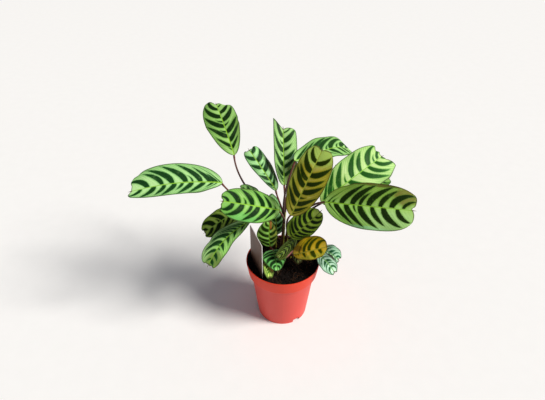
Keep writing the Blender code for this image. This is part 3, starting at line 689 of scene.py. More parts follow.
def blade_part(leaf):
    """The upper face, the lower face and the rim, as one closed sheet."""
    length = float(np.linalg.norm(np.subtract(leaf.tip, leaf.base)))
    rows, columns = (LONG_ROWS, LONG_COLUMNS) if length > SHORT_BLADE else (SHORT_ROWS, SHORT_COLUMNS)
    even = np.linspace(0, 1, rows + 1)
    eased = 0.5 - 0.5 * np.cos(math.pi * even)
    along = ROW_EVENNESS * even + (1 - ROW_EVENNESS) * eased
    across = np.linspace(-1, 1, columns + 1)
    top, out = blade_surface(leaf, along, across)
    top = bitten(leaf, top, along, across, length)
    normals = unit(np.cross(np.gradient(top, axis=1), np.gradient(top, axis=0)))
    u, v = along[:, None], across[None, :]
    half, filled = halves(leaf, along, v)
    lateral = half * filled * np.abs(v)
    run, share, half = u * length + 0 * v, np.abs(v) + 0 * u, half + 0 * u
    left_row, right_row, *numbers = MARKINGS[leaf.name]
    sweeps, reaches = numbers[:2], numbers[2:] or (1, 1)
    both = [blotch_distance(row, sweep, reach, run, lateral, half, share)
            for row, sweep, reach in zip((left_row, right_row or left_row), sweeps, reaches)]
    marks = np.where(v < 0, *both)
    margin = np.minimum(half * filled - lateral, (1 - u) * length)
    vein = vein_place(run, lateral, half, np.where(v < 0, *sweeps))
    swell = np.clip(share * (1 - share) * 4, 0, 1) * np.sin(math.pi * u) ** 0.5
    quilt = QUILT_HEIGHT * swell * np.cos(2 * math.pi * vein / QUILT_PITCH)
    groove = GROOVE_DEPTH * (1 - GROOVE_TAPER * u) * np.exp(-(out / GROOVE_REACH) ** 2)
    keel = KEEL * (1 - KEEL_TAPER * u) * np.exp(-(out / KEEL_REACH) ** 2)
    thickness = MARGIN_THICKNESS + (BLADE_THICKNESS - MARGIN_THICKNESS) * (1 - share ** 4)
    top = top + normals * (quilt - groove)[..., None]
    bottom = top - normals * (thickness + keel)[..., None]
    count = (rows + 1) * (columns + 1)
    quads = grid_faces(rows + 1, columns + 1)
    edge = edge_strip(rows + 1, columns + 1)
    after = np.roll(edge, -1)
    rim = np.stack([after, edge, edge + count, after + count], -1)
    kept = {"vein": (vein, out, run), "marks": (marks, margin, share)}
    fields = {name: np.tile(np.stack(values, -1).reshape(-1, 3), (2, 1)) for name, values in kept.items()}
    points = np.concatenate([top.reshape(-1, 3), bottom.reshape(-1, 3)])
    faces = np.concatenate([quads, quads[:, ::-1] + count, rim])
    finish = [0] * len(quads) + [1] * (len(quads) + len(rim))
    return Surface(points, faces.tolist(), fields, finish)


def point_part(leaf):
    """The dry point at the tip: a thin cone that bends down a little."""
    points, ahead, normal, right = midrib(leaf, np.ones(1))
    steps = np.linspace(0, 1, POINT_ROWS)[:, None, None]
    angles = np.linspace(0, 2 * math.pi, POINT_SIDES + 1)[:-1][None, :, None]
    start = points - ahead * (leaf.notch + 1) - normal * 0.3
    centre = start + ahead * steps * (POINT_LENGTH + 1) - normal * 0.8 * steps ** 2
    radius = POINT_RADIUS * (1 - steps) ** 0.8 + 0.03
    grid = (centre + radius * (np.cos(angles) * right + np.sin(angles) * normal)).reshape(-1, 3)
    faces = tube_faces(POINT_ROWS, POINT_SIDES)
    nothing = np.zeros((len(grid), 3))
    return Surface(grid, faces, {"vein": nothing, "marks": nothing}, [2] * len(faces))


# %% [markdown]
# ## The leaves' finishes
#
# The upper face is built from its fields. The distance from a blotch gives the dark patch, its
# softer rim and the pale band between patches. The distance from the midrib gives a bright line, and
# the distance from the margin a thin dark one. Fine side veins, which follow the same sweep, are a
# bump. Every leaf has its own age and light, so each has its own pale and dark green, and some have
# stains: soft ovals where the leaf has turned ochre, brown or bluish. A few ovals are painted light
# instead: a painted highlight on pointed, a painted shadow on low_right_front, and a painted lighter
# patch on lower_left where its curl turns it into shade. An oval is its middle along and across the
# leaf, half its length and width, all in millimetres, its colour and its strength. It colours the
# bands only, or, with True, the blotches too.

# %% Name each leaf's colours, as they are seen
@dataclass(frozen=True)
class Tint:
    """The bands between the blotches, the blotches, the midrib and the margin."""

    pale: tuple
    dark: tuple
    rib: tuple = (138, 190, 50)
    rim: tuple = (50, 66, 32)
    gloss: float = 0.06
    stains: tuple = ()


TINTS = {
    "tall_left": Tint((146, 200, 100), (20, 56, 14), stains=((26, 20, 34, 9, (100, 130, 50), 0.6),
        (80, 10, 22, 22, (176, 220, 136), 0.3))),
    "far_left": Tint((172, 226, 142), (20, 78, 26)),
    "rolled": Tint((168, 232, 150), (28, 80, 32), gloss=0.15, stains=((22, 14, 34, 8, (70, 76, 34), 0.8),)),
    # pointed's second oval, small and bluish white, is a painted highlight.
    "pointed": Tint((174, 226, 134), (28, 76, 20), gloss=0.12,
        stains=((16, 12, 26, 11, (104, 112, 40), 0.85), (45, 12, 5, 7, (150, 200, 190), 0.5))),
    "arching_back": Tint((164, 218, 126), (36, 88, 30)),
    "olive": Tint((162, 152, 40), (34, 56, 2), (150, 160, 50), (70, 56, 26),
        stains=((98, -4, 16, 28, (168, 204, 98), 0.85), (60, -22, 44, 7, (156, 170, 70), 0.6))),
    "right_upper": Tint((208, 250, 152), (40, 122, 28), (150, 216, 66), gloss=0.15,
        stains=((14, 0, 34, 34, (160, 206, 90), 0.7),)),
    "right_lower": Tint((160, 218, 98), (28, 54, 8), rim=(70, 58, 26),
        stains=((52, -20, 62, 17, (124, 152, 48), 0.55), (114, -18, 18, 14, (122, 100, 44), 0.75),
        (86, -32, 44, 3.5, (84, 66, 30), 0.8), (60, 32, 50, 4, (150, 214, 156), 0.7),
        (100, 18, 40, 16, (184, 228, 150), 0.6))),
    "right_behind": Tint((104, 160, 58), (20, 60, 14)),
    "middle_left": Tint((138, 198, 90), (14, 60, 14), rim=(50, 48, 26),
        stains=((62, -20, 26, 9, (104, 196, 104), 0.5), (88, 0, 18, 26, (116, 180, 80), 0.6))),
    "dark_left": Tint((140, 172, 66), (14, 38, 6), (120, 160, 60)),
    # lower_left's second oval is painted light: it lightens the right half, which the curl turns into shade.
    "lower_left": Tint((168, 232, 116), (34, 84, 36), stains=((82, -4, 18, 14, (120, 138, 66), 0.8),
        (45, 15, 60, 10, (196, 240, 160), 0.8))),
    "behind_left": Tint((156, 214, 120), (38, 86, 34)),
    "curled": Tint((172, 246, 156), (34, 84, 20)),
    "centre": Tint((172, 240, 110), (44, 74, 16), stains=((26, 9, 26, 6, (170, 150, 50), 0.65),
        (40, 2, 7, 2.4, (208, 112, 50), 0.85, True))),
    "under_olive": Tint((144, 178, 50), (14, 36, 4), (112, 134, 44)),
    "yellow": Tint((234, 192, 30), (74, 92, 8), (180, 172, 56), (110, 82, 30),
        stains=((13, -8, 9, 5, (96, 58, 20), 0.7, True), (36, 12, 40, 7, (190, 190, 60), 0.7))),
    # low_right_front's dark brown strip along its left margin is a painted shadow, cast by the blade behind
    # it.
    "low_right_front": Tint((214, 254, 224), (40, 108, 58), (130, 190, 110),
        stains=((14, -11.5, 13, 2.5, (60, 42, 30), 0.9, True),)),
    "low_right_back": Tint((206, 252, 214), (44, 124, 76), (130, 190, 110)),
    "front": Tint((130, 216, 112), (30, 68, 28), (100, 160, 70)),
    "dark_small": Tint((124, 152, 58), (4, 8, 0), (64, 90, 40),
        stains=((28, -10.6, 20, 1.5, (226, 118, 140), 0.95, True),)),
    "on_soil": Tint((222, 246, 122), (64, 122, 34), stains=((16, -5, 6, 4, (206, 150, 80), 0.8, True),)),
    "withered": Tint((112, 128, 66), (22, 18, 10), (110, 90, 46), (60, 44, 24)),
}


def between(first, second, share):
    """The colour that lies this far from the first to the second."""
    return tuple(a + (b - a) * share for a, b in zip(first, second))


# %% The upper face's recipe
# Each edge is given by the distances, in millimetres, at which it starts and ends. An oval's edge is
# in parts of its half size.
FINE_VEIN_PITCH = 1.15
STREAK_PITCH = 4.4
BLOTCH_EDGE = (0.3, -0.3)
MIDRIB_EDGE = (1.15, 0.55)
MIDRIB_TAPER = 0.004
MARGIN_EDGE = (1.9, 0.7)
OVAL_EDGE = (1.25, 0.6)


def leaf_finish(name, tint):
    """A patterned face: pale bands, dark blotches, midrib and margin."""
    finish = Finish(name)
    pale, dark = tint.pale, tint.dark
    far = between(pale, dark, 0.2)
    light = between(pale, (255, 255, 225), 0.22)
    halo = between(pale, dark, 0.55)
    deep = between(dark, (0, 0, 0), 0.3)
    vein, out, run = finish.field("vein")
    marks, margin, share = finish.field("marks")
    cloud = finish.noise(160.0, 3.0)
    wobble = (finish.noise(520.0, 2.0) - 0.5) * 1.1
    distance = marks + wobble
    drift = (cloud - 0.5) * 0.5
    broad = finish.noise(24.0, 2.0)
    band = finish.mix(share.step(0.5, 1.0) * 0.7, pale, far)
    band = finish.mix(broad.step(0.35, 0.75) * 0.35, band, far)
    band = finish.mix(distance.step(0.8, 3.4) * share.step(0.95, 0.5) * 0.8, band, light)
    streaks = (vein * (2 * math.pi / STREAK_PITCH) + wobble * 0.8).math("SINE")
    band = finish.mix(streaks.step(0.1, 0.9) * share.step(0.3, 0.75) * 0.4, band, halo)
    # Each oval recolours the bands, or with True the blotches too. Most are stains, a few are painted light:
    # a painted highlight, a painted shadow and a painted lighter patch.
    ovals_over = []
    for along, across, long, wide, overpaint, strength, *over in tint.stains:
        down, off = (run - along) / long, (out - across) / wide
        off = (down * down + off * off).math("SQRT") + drift
        oval = off.step(*OVAL_EDGE) * strength
        if over:
            ovals_over.append((oval, overpaint))
        else:
            band = finish.mix(oval, band, overpaint)
    band = finish.mix(distance.step(1.3, 0.2) * 0.55, band, halo)
    patch = finish.mix(distance.step(-0.3, -1.6), dark, deep)
    colour = finish.mix(distance.step(*BLOTCH_EDGE), band, patch)
    lines = (vein * (2 * math.pi / FINE_VEIN_PITCH) + wobble * 1.5).math("SINE")
    colour = finish.mix(lines.step(0.1, 1.0) * 0.12, colour, halo)
    colour = finish.mix(cloud.step(0.55, 0.8) * 0.15, colour, far)
    for oval, overpaint in ovals_over:
        colour = finish.mix(oval, colour, overpaint)
    off_rib = out.math("ABSOLUTE") + run * MIDRIB_TAPER
    colour = finish.mix(off_rib.step(*MIDRIB_EDGE), colour, tint.rib)
    colour = finish.mix((margin + drift).step(*MARGIN_EDGE) * 0.8, colour, tint.rim)
    normal = finish.bump(lines * 0.03 + cloud * 0.12)
    return finish.set(Base_Color=colour, Roughness=0.36 + cloud * 0.16, Normal=normal,
                      Specular_IOR_Level=tint.gloss)


# %% The lower face: dull purple-maroon with a paler keel
under = Finish("leaf_underside")
vein, out, _ = under.field("vein")
marks, _, _ = under.field("marks")
cloud = under.noise(180.0, 3.0)
colour = under.mix(cloud, (92, 40, 52), (70, 30, 36))
colour = under.mix(marks.step(1.2, -0.6) * 0.5, colour, (52, 24, 26))
colour = under.mix(out.math("ABSOLUTE").step(2.0, 0.8) * 0.8, colour, (126, 108, 56))
lines = (vein * (2 * math.pi / FINE_VEIN_PITCH)).math("SINE")
UNDER = under.set(Base_Color=colour, Roughness=0.5, Normal=under.bump(lines * 0.04 + cloud * 0.1))

# %% The dry point: olive and brown
point = Finish("leaf_point")
tan = point.mix(point.noise(900.0), (112, 110, 50), (74, 60, 28))
POINT = point.set(Base_Color=tan, Roughness=0.7)

# %% Build all the blades
triangles = 0
for leaf in LEAVES:
    node = "leaf_" + leaf.name
    upper = leaf_finish(node + "_upper_face", TINTS[leaf.name])
    parts = [blade_part(leaf), point_part(leaf)]
    make_piece(node + "_blade", parts, [upper, UNDER, POINT], node)
    triangles += sum(len(face) - 2 for part in parts for face in part.faces)
print("blades:", len(LEAVES), "pieces with", triangles, "triangles")

# %% [markdown]
# ## The stems
#
# A stalk leaves its shoot steeply and arrives at its blade along the midrib. Its line is a curve
# pulled by two points, the same one that the solid follows, and a thin tube is carried along it.
# The thicker cane of each shoot is a tube through the points that were measured up its height. The
# stalks are red-brown, and the canes are darker. The side of each cane that faces the lamp is
# painted a light olive: the cane's olive side, made lighter as painted light.

# %% Carry a tube along a line
STALK_ROWS, STALK_SIDES = 44, 14
CANE_ROWS, CANE_SIDES = 60, 20
STALK_START_RADIUS = 1.9
STALK_END_RADIUS = 1.2
DRY_START_RADIUS = 1.2
DRY_END_RADIUS = 0.7
PLAIN_RISE = 0.4
PLAIN_ARRIVAL = 0.3
SOIL_LEVEL = 103.5
ROOT_DEPTH = 20.0
JOINT_LENGTH = 9.0
JOINT_SWELL = 0.35


def line_left(line):
    """The length of a line that is left at each of its points, up to its end."""
    run = np.linalg.norm(np.diff(line, axis=0), axis=1)
    return run.sum() - np.concatenate([[0], np.cumsum(run)])


def tube_surface(centres, radii, sides, cane):
    """A round tube: each ring lies across the line, at its own radius. Both ends are closed."""
    along = unit(np.gradient(centres, axis=0))
    across = unit(np.cross(along, (0.31, 0.92, 0.12)))
    other = np.cross(along, across)
    angles = (np.arange(sides) * 2 * math.pi / sides)[None, :, None]
    ring = np.cos(angles) * across[:, None] + np.sin(angles) * other[:, None]
    points = centres[:, None] + np.asarray(radii)[:, None, None] * ring
    faces = tube_faces(len(centres), sides)
    left = line_left(centres)[:, None] + 0 * ring[..., 0]
    field = np.stack([left, ring[..., 0], np.full_like(left, cane)], -1).reshape(-1, 3)
    return Surface(points.reshape(-1, 3), faces, {"stem": field}, [0] * len(faces))


def pulled_curve(start, first, second, end, rows):
    """Points of a cubic curve from start to end, pulled by the two points between."""
    t = np.linspace(0, 1, rows)[:, None]
    start, first, second, end = np.array((start, first, second, end), float)
    return (1 - t) ** 3 * start + 3 * t * (1 - t) ** 2 * first + 3 * t ** 2 * (1 - t) * second + t ** 3 * end


def dry_stalk_surface(shoot):
    """The old flower stalk: a thin tube with a few scars, which are short swellings."""
    line = pulled_curve(*shoot.dry, STALK_ROWS)
    radii = np.linspace(DRY_START_RADIUS, DRY_END_RADIUS, STALK_ROWS)
    radii = radii * (1 + 0.25 * np.cos(np.linspace(0, 14 * math.pi, STALK_ROWS)) ** 8)
    return tube_surface(line, radii, STALK_SIDES, 0.0)


def stalk_surface(leaf):
    """The stalk's cubic curve from the shoot to the blade. It swells to a joint under the blade."""
    points, ahead, normal, _ = midrib(leaf, np.zeros(1))
    start = np.array(leaf.start, float)
    span = np.linalg.norm(points[0] - start)
    plain = start + np.array((0, 0, PLAIN_RISE * span)), points[0] - ahead[0] * PLAIN_ARRIVAL * span
    first, second = np.array(leaf.bends or plain, float)
    end = points[0] + ahead[0] * 2.0 - normal[0] * (BLADE_THICKNESS / 2 + KEEL / 2)
    line = pulled_curve(start, first, second, end, STALK_ROWS)
    radii = np.linspace(STALK_START_RADIUS, STALK_END_RADIUS, STALK_ROWS)
    joint = np.clip(1 - np.abs(line_left(line) - JOINT_LENGTH / 2) / (JOINT_LENGTH / 2 + 2), 0, 1)
    radii = radii + JOINT_SWELL * np.sin(joint * math.pi / 2) ** 2
    return tube_surface(line, radii, STALK_SIDES, 0.0)


def smooth_line(stops, rows):
    """A curve through all the stops: between two of them it leaves in the way of its neighbours."""
    stops = np.asarray(stops, float)
    padded = np.concatenate([[2 * stops[0] - stops[1]], stops, [2 * stops[-1] - stops[-2]]])
    place = np.linspace(0, len(stops) - 1 - 1e-9, rows)
    k = place.astype(int)
    t = (place - k)[:, None]
    a, b, c, d = (padded[k + shift] for shift in range(4))
    return 0.5 * (2 * b + (c - a) * t + (2 * a - 5 * b + 4 * c - d) * t ** 2
                  + (3 * b - a - 3 * c + d) * t ** 3)


def cane_surface(shoot):
    """A tube through the cane's stops, from its root in the soil up. Radii follow the same curve."""
    foot = shoot.foot
    stops = [(*foot, SOIL_LEVEL - ROOT_DEPTH, shoot.radius), (*foot, SOIL_LEVEL + 3, shoot.radius)]
    stops += [(*centre, radius) for centre, radius in shoot.cane]
    line = smooth_line(stops, CANE_ROWS)
    return tube_surface(line[:, :3], line[:, 3], CANE_SIDES, 1.0)


# %% The stems' finish
stem_finish = Finish("stem")
left_to_blade, painted_lamp_side, is_cane = stem_finish.field("stem")
streaks = stem_finish.noise(420.0, 3.0)
red = stem_finish.mix(streaks, (74, 36, 30), (52, 26, 20))
young = stem_finish.mix(left_to_blade.step(40.0, 5.0), red, (112, 58, 46))
woody_and_lit_side = stem_finish.mix(streaks, (104, 68, 34), (66, 42, 24))
# The side that faces the lamp is painted light olive: painted light.
woody_and_lit_side = stem_finish.mix(painted_lamp_side.step(0.1, 0.6), woody_and_lit_side, (186, 190, 70))
stem_colour = stem_finish.mix(is_cane, young, woody_and_lit_side)
STEM = stem_finish.set(Base_Color=stem_colour, Roughness=0.42 + streaks * 0.15,
                       Normal=stem_finish.bump(streaks * 0.2))

# %% Build the five shoots
for shoot in SHOOTS:
    stalks = [stalk_surface(leaf) for leaf in LEAVES if leaf.shoot == shoot.name]
    stalks += [dry_stalk_surface(shoot)] if shoot.dry else []
    name = "stems_" + shoot.name
    make_piece(name + "_skin", [cane_surface(shoot), *stalks], [STEM], name)
    print(name, "carries", len(stalks), "stalks")

# %% [markdown]
# ## The pot
#
# A nursery pot is blown or moulded in one thin wall: a tapered body, a step out to a wide collar,
# a rounded lip, and a low foot ring with drain notches. It is a profile turned round the pot's axis,
# and each corner of the profile is rounded, as a mould rounds it. The notches are cut afterwards.

# %% Turn a rounded profile round the axis
POT_HEIGHT = 111.5
RIM_RADIUS = 60.0
COLLAR_BOTTOM_RADIUS = 56.4
COLLAR_BOTTOM = 88.5
STEP_BOTTOM = 84.5
BODY_TOP_RADIUS = 51.6
FOOT_RADIUS = 41.5
WALL = 1.5
FOOT_HEIGHT = 4.0
FLOOR_TOP = 5.5
INNER_STEP_BOTTOM, INNER_STEP_TOP = 84.9, 89.3
CENTRE_PAD_RADIUS = 8.0
NOTCH_WIDTH = 13.0
NOTCH_HEIGHT = 6.5
NOTCH_DEPTH = 12.0
NOTCH_ANGLES = (-56.0, 64.0, 184.0)
POT_SEGMENTS = 240
SEAM_HEIGHT = 0.12
SHARP_DEGREES = 35.0


def pot_inside_radius(height):
    """The inner wall's radius: it follows the outside, one wall thickness in."""
    heights = (FLOOR_TOP, STEP_BOTTOM, COLLAR_BOTTOM, POT_HEIGHT)
    radii = (FOOT_RADIUS, BODY_TOP_RADIUS, COLLAR_BOTTOM_RADIUS, RIM_RADIUS)
    return np.interp(height, heights, radii) - WALL


def rounded(corners, steps=6):
    """A line of (radius, height, rounding), with each corner replaced by a curve of that size.

    The curve runs between the points that lie the rounding's length before and after the corner,
    and is pulled towards the corner.
    """
    line = []
    for before, corner, after in zip(corners, corners[1:], corners[2:]):
        middle = np.array(corner[:2], float)
        start = middle + unit(np.array(before[:2]) - middle) * corner[2]
        end = middle + unit(np.array(after[:2]) - middle) * corner[2]
        t = np.linspace(0, 1, steps)[:, None]
        line.append((1 - t) ** 2 * start + 2 * t * (1 - t) * middle + t ** 2 * end)
    return np.concatenate([[corners[0][:2]], *line, [corners[-1][:2]]])


def turned(profile, angles, swell=0.0):
    """A profile of (radius, height) carried round the axis. It starts and ends on the axis."""
    inner = profile[1:-1]
    radius = inner[:, 0][:, None] + swell
    x, y = radius * np.cos(angles), radius * np.sin(angles)
    z = inner[:, 1][:, None] + 0 * angles
    points = np.stack([x, y, z], -1).reshape(-1, 3)
    rows, columns = x.shape
    faces = grid_faces(rows, columns, wrap=True)
    ring = np.arange(columns)
    first, last = len(points), len(points) + 1
    poles = np.array([(0, 0, profile[0, 1]), (0, 0, profile[-1, 1])])
    start = np.stack([np.full(columns, first), (ring + 1) % columns, ring], -1)
    top = ring + (rows - 1) * columns
    end = np.stack([np.full(columns, last), top, (ring + 1) % columns + (rows - 1) * columns], -1)
    return np.concatenate([points, poles]), faces.tolist() + start.tolist() + end.tolist()


# %% Build the pot's wall
foot_inside = FOOT_RADIUS - 2.0
step_bottom, step_top = (float(pot_inside_radius(h)) for h in (INNER_STEP_BOTTOM, INNER_STEP_TOP))
pot_profile = rounded([
    (0, 0, 0), (CENTRE_PAD_RADIUS, 0, 0.8), (CENTRE_PAD_RADIUS, FOOT_HEIGHT, 0.8),
    (foot_inside, FOOT_HEIGHT, 0.8), (foot_inside, 0, 0.6), (FOOT_RADIUS, 0, 1.2),
    (BODY_TOP_RADIUS, STEP_BOTTOM, 1.6), (COLLAR_BOTTOM_RADIUS, COLLAR_BOTTOM, 1.6),
    (RIM_RADIUS, POT_HEIGHT - 0.4, 0.7), (RIM_RADIUS - 0.3, POT_HEIGHT, 0.25),
    (RIM_RADIUS - WALL, POT_HEIGHT, 0.4), (step_top, INNER_STEP_TOP, 1.2),
    (step_bottom, INNER_STEP_BOTTOM, 1.2), (FOOT_RADIUS - WALL, FLOOR_TOP, 1.0), (0, FLOOR_TOP, 0),
])
pot_angles = np.arange(POT_SEGMENTS) * 2 * math.pi / POT_SEGMENTS - math.pi / 2
seam = SEAM_HEIGHT * (np.arange(POT_SEGMENTS) % (POT_SEGMENTS // 2) == 0)
points, faces = turned(pot_profile, pot_angles, seam * (pot_profile[1:-1, :1] > 41))
lip_row = int(np.flatnonzero(pot_profile[:, 1] >= POT_HEIGHT - 0.3)[-1])
outer, inner = lip_row * POT_SEGMENTS, (len(pot_profile) - 3 - lip_row) * POT_SEGMENTS
wall_finish = [0] * outer + [1] * inner + [0] * POT_SEGMENTS + [1] * POT_SEGMENTS
pot_surface = Surface(points, faces, {}, wall_finish)
print("the pot's profile has", len(pot_profile), "points, turned in", POT_SEGMENTS, "steps")


# %% The pot's finishes: satin orange-red plastic, painted light below the collar, painted shade inside
BODY_TOP = 0.088
SOIL_LINE = 0.1085
pot_finish = Finish("pot_plastic")
cloud = pot_finish.noise(22.0, 2.0)
speckle = pot_finish.noise(900.0, 2.0)
scuffs = pot_finish.noise(70.0, 4.0, 0.65)
plastic = pot_finish.mix(cloud, (234, 68, 38), (224, 60, 34))
plastic = pot_finish.mix(scuffs.step(0.58, 0.75) * 0.1, plastic, (236, 116, 90))
# Below the collar the plastic is painted paler and pinker than the collar: painted light, for the room's
# reflection on the body and the light that glows through the collar.
_, _, height = pot_finish.parts(pot_finish.place())
painted_light_below_collar = height.step(BODY_TOP + 0.002, BODY_TOP - 0.004)
plastic = pot_finish.mix(painted_light_below_collar * 0.7, plastic, (218, 84, 78))
POT = pot_finish.set(Base_Color=plastic, Roughness=0.46 + scuffs * 0.14, Specular_IOR_Level=0.25,
                     Normal=pot_finish.bump(speckle * 0.05 + cloud * 0.5), Coat_Weight=0.1,
                     Coat_Roughness=0.35)
# The pot's inside is painted shade, where the leaves' shadow would fall: near black up to a ragged line a
# little above the soil, and dark red above it.
overpaint = Finish("pot_inside")
_, _, height = overpaint.parts(overpaint.place())
mottle = overpaint.noise(260.0, 4.0, 0.6)
above_soil = ((height - SOIL_LINE) / 0.003 + (mottle - 0.5) * 1.5).step(0.0, 1.0)
painted_shade_inside = overpaint.mix(mottle, (30, 14, 10), (12, 8, 7))
INSIDE = overpaint.set(Base_Color=overpaint.mix(above_soil * 0.8, painted_shade_inside, (150, 40, 22)), Roughness=0.8,
                     Normal=overpaint.bump(mottle * 0.3), Specular_IOR_Level=0.2)
pot = make_piece("pot_moulding", [pot_surface], [POT, INSIDE], "pot", SHARP_DEGREES)


# %% Cut the drain notches in the foot
def notch_cutter(name, angle_degrees):
    """A bar with rounded upper corners, lying through the foot ring along a radius."""
    half, low = NOTCH_WIDTH / 2, -5
    section = rounded([(0, low, 0), (half, low, 0.5), (half, NOTCH_HEIGHT, 2.0),
                       (-half, NOTCH_HEIGHT, 2.0), (-half, low, 0.5), (0, low, 0)])[1:-1]
    turn = math.radians(angle_degrees)
    out = np.array((math.cos(turn), math.sin(turn), 0))
    side = np.array((-math.sin(turn), math.cos(turn), 0))
    ends = [FOOT_RADIUS - NOTCH_DEPTH / 2, FOOT_RADIUS + NOTCH_DEPTH / 2]
    points = np.concatenate([out * end + side * section[:, :1] + np.array((0, 0, 1)) * section[:, 1:]
                             for end in ends]) * MM
    mesh = bpy.data.meshes.new(name)
    mesh.from_pydata(points.tolist(), [], tube_faces(2, len(section)))
    return show(name, mesh)


def cut(piece, cutter):
    """Take the cutter's shape out of the piece for good, and remove the cutter."""
    tool = piece.modifiers.new("cut", "BOOLEAN")
    tool.operation = "DIFFERENCE"
    tool.solver = "EXACT"
    tool.object = cutter
    whole = piece.evaluated_get(bpy.context.evaluated_depsgraph_get())
    mesh = bpy.data.meshes.new_from_object(whole)
    piece.modifiers.clear()
    piece.data = mesh
    bpy.data.objects.remove(cutter, do_unlink=True)


for number, angle in enumerate(NOTCH_ANGLES):
    cut(pot, notch_cutter("notch_cutter_" + str(number), angle))
pot.data.shade_smooth()
pot.data.set_sharp_from_angle(angle=math.radians(SHARP_DEGREES))
print("the pot has", len(pot.data.polygons), "faces and", len(NOTCH_ANGLES), "notches")

# %% [markdown]
# ## The soil
#
# Potting soil is nearly black: lumps, small crumbs and pale fibres of peat. A flat disc with a
# texture would look like felt from the side. The lumps are in the surface itself, and the crumbs
# and fibres are small solids that lie on it.

# %% Build the soil's body with its lumpy top
SOIL_LUMP = 1.4
SOIL_SEGMENTS = 220
SOIL_GAP = 0.3
FINE_LUMP = 0.75
random = np.random.default_rng(11)
wave_ways = random.uniform(0, 2 * math.pi, 40)
wave_sizes = 2 * math.pi / random.uniform(3.5, 13.0, 40)
wave_shifts = random.uniform(0, 2 * math.pi, 40)


def soil_top(x, y):
    """The solid's crossed sine waves, and forty smaller waves that run every way."""
    lumps = np.sin(x * 0.21 + 0.6) * np.cos(y * 0.17) + 0.6 * np.sin(x * 0.43 - y * 0.37 + 1.9)
    travel = x[..., None] * np.cos(wave_ways) + y[..., None] * np.sin(wave_ways)
    fine = np.sin(travel * wave_sizes + wave_shifts).sum(-1) / math.sqrt(len(wave_ways))
    return SOIL_LEVEL + SOIL_LUMP * 0.5 * lumps + FINE_LUMP * fine


soil_edge = float(pot_inside_radius(SOIL_LEVEL)) - SOIL_GAP
side_heights = np.array((FLOOR_TOP + SOIL_GAP, STEP_BOTTOM + 0.2, INNER_STEP_TOP, 98.0))
sides = np.stack([pot_inside_radius(side_heights) - SOIL_GAP, side_heights], -1)
rings = np.stack([np.linspace(soil_edge, 0.8, 84), np.full(84, SOIL_LEVEL)], -1)
soil_profile = np.concatenate([[(0, FLOOR_TOP + SOIL_GAP)], sides, rings, [(0, SOIL_LEVEL)]])
soil_angles = np.arange(SOIL_SEGMENTS) * 2 * math.pi / SOIL_SEGMENTS
points, faces = turned(soil_profile, soil_angles)
on_top = points[:, 2] >= SOIL_LEVEL - 1e-6
points[on_top, 2] = soil_top(points[on_top, 0], points[on_top, 1])
soil_surface = Surface(points, faces, {"tone": np.zeros((len(points), 3))}, [0] * len(faces))

# %% Scatter crumbs and fibres over it
CRUMBS = 1500
FIBRES = 150
FIBRE_RINGS, FIBRE_SIDES = 7, 3
GOLDEN = (1 + math.sqrt(5)) / 2


def scatter(count, reach):
    """Places spread evenly over the disc: the radius grows as the root of a random number."""
    radius = reach * np.sqrt(random.uniform(0, 1, count))
    angle = random.uniform(0, 2 * math.pi, count)
    x, y = radius * np.cos(angle), radius * np.sin(angle)
    return np.stack([x, y, soil_top(x, y)], -1)


def repeated(faces, copies, size):
    """The faces of one small solid, said again for each copy of its points."""
    first = (np.arange(copies) * size)[:, None, None]
    return (np.array(faces) + first).reshape(-1, len(faces[0])).tolist()


def toned(points, faces, tones):
    """Copies of a small solid, each with its own tone, as one surface."""
    tone = np.repeat(tones, points.size // (3 * len(tones)))
    field = np.stack([tone, 0 * tone, 0 * tone], -1)
    return Surface(points.reshape(-1, 3), faces, {"tone": field}, [0] * len(faces))


def crumbs():
    """Twenty-sided lumps, each squashed, turned and sized at random."""
    g = GOLDEN
    corners = unit(np.array([(-1, g, 0), (1, g, 0), (-1, -g, 0), (1, -g, 0), (0, -1, g), (0, 1, g),
                             (0, -1, -g), (0, 1, -g), (g, 0, -1), (g, 0, 1), (-g, 0, -1), (-g, 0, 1)]))
    sides = [(0, 11, 5), (0, 5, 1), (0, 1, 7), (0, 7, 10), (0, 10, 11), (1, 5, 9), (5, 11, 4),
             (11, 10, 2), (10, 7, 6), (7, 1, 8), (3, 9, 4), (3, 4, 2), (3, 2, 6), (3, 6, 8),
             (3, 8, 9), (4, 9, 5), (2, 4, 11), (6, 2, 10), (8, 6, 7), (9, 8, 1)]
    size = 0.45 + 1.5 * random.uniform(0, 1, CRUMBS) ** 3
    lump = corners[None] * random.uniform(0.72, 1.25, (CRUMBS, len(corners), 1))
    lump = lump * random.uniform(0.6, 1.2, (CRUMBS, 1, 3)) * size[:, None, None]
    turn = random.uniform(0, 2 * math.pi, CRUMBS)[:, None]
    x = lump[..., 0] * np.cos(turn) - lump[..., 1] * np.sin(turn)
    y = lump[..., 0] * np.sin(turn) + lump[..., 1] * np.cos(turn)
    lump = np.stack([x, y, lump[..., 2]], -1)
    places = scatter(CRUMBS, soil_edge - 2.5) + np.array((0, 0, 0.25)) * size[:, None]
    faces = repeated(sides, CRUMBS, len(corners))
    return toned(lump + places[:, None], faces, random.uniform(0.1, 1, CRUMBS))


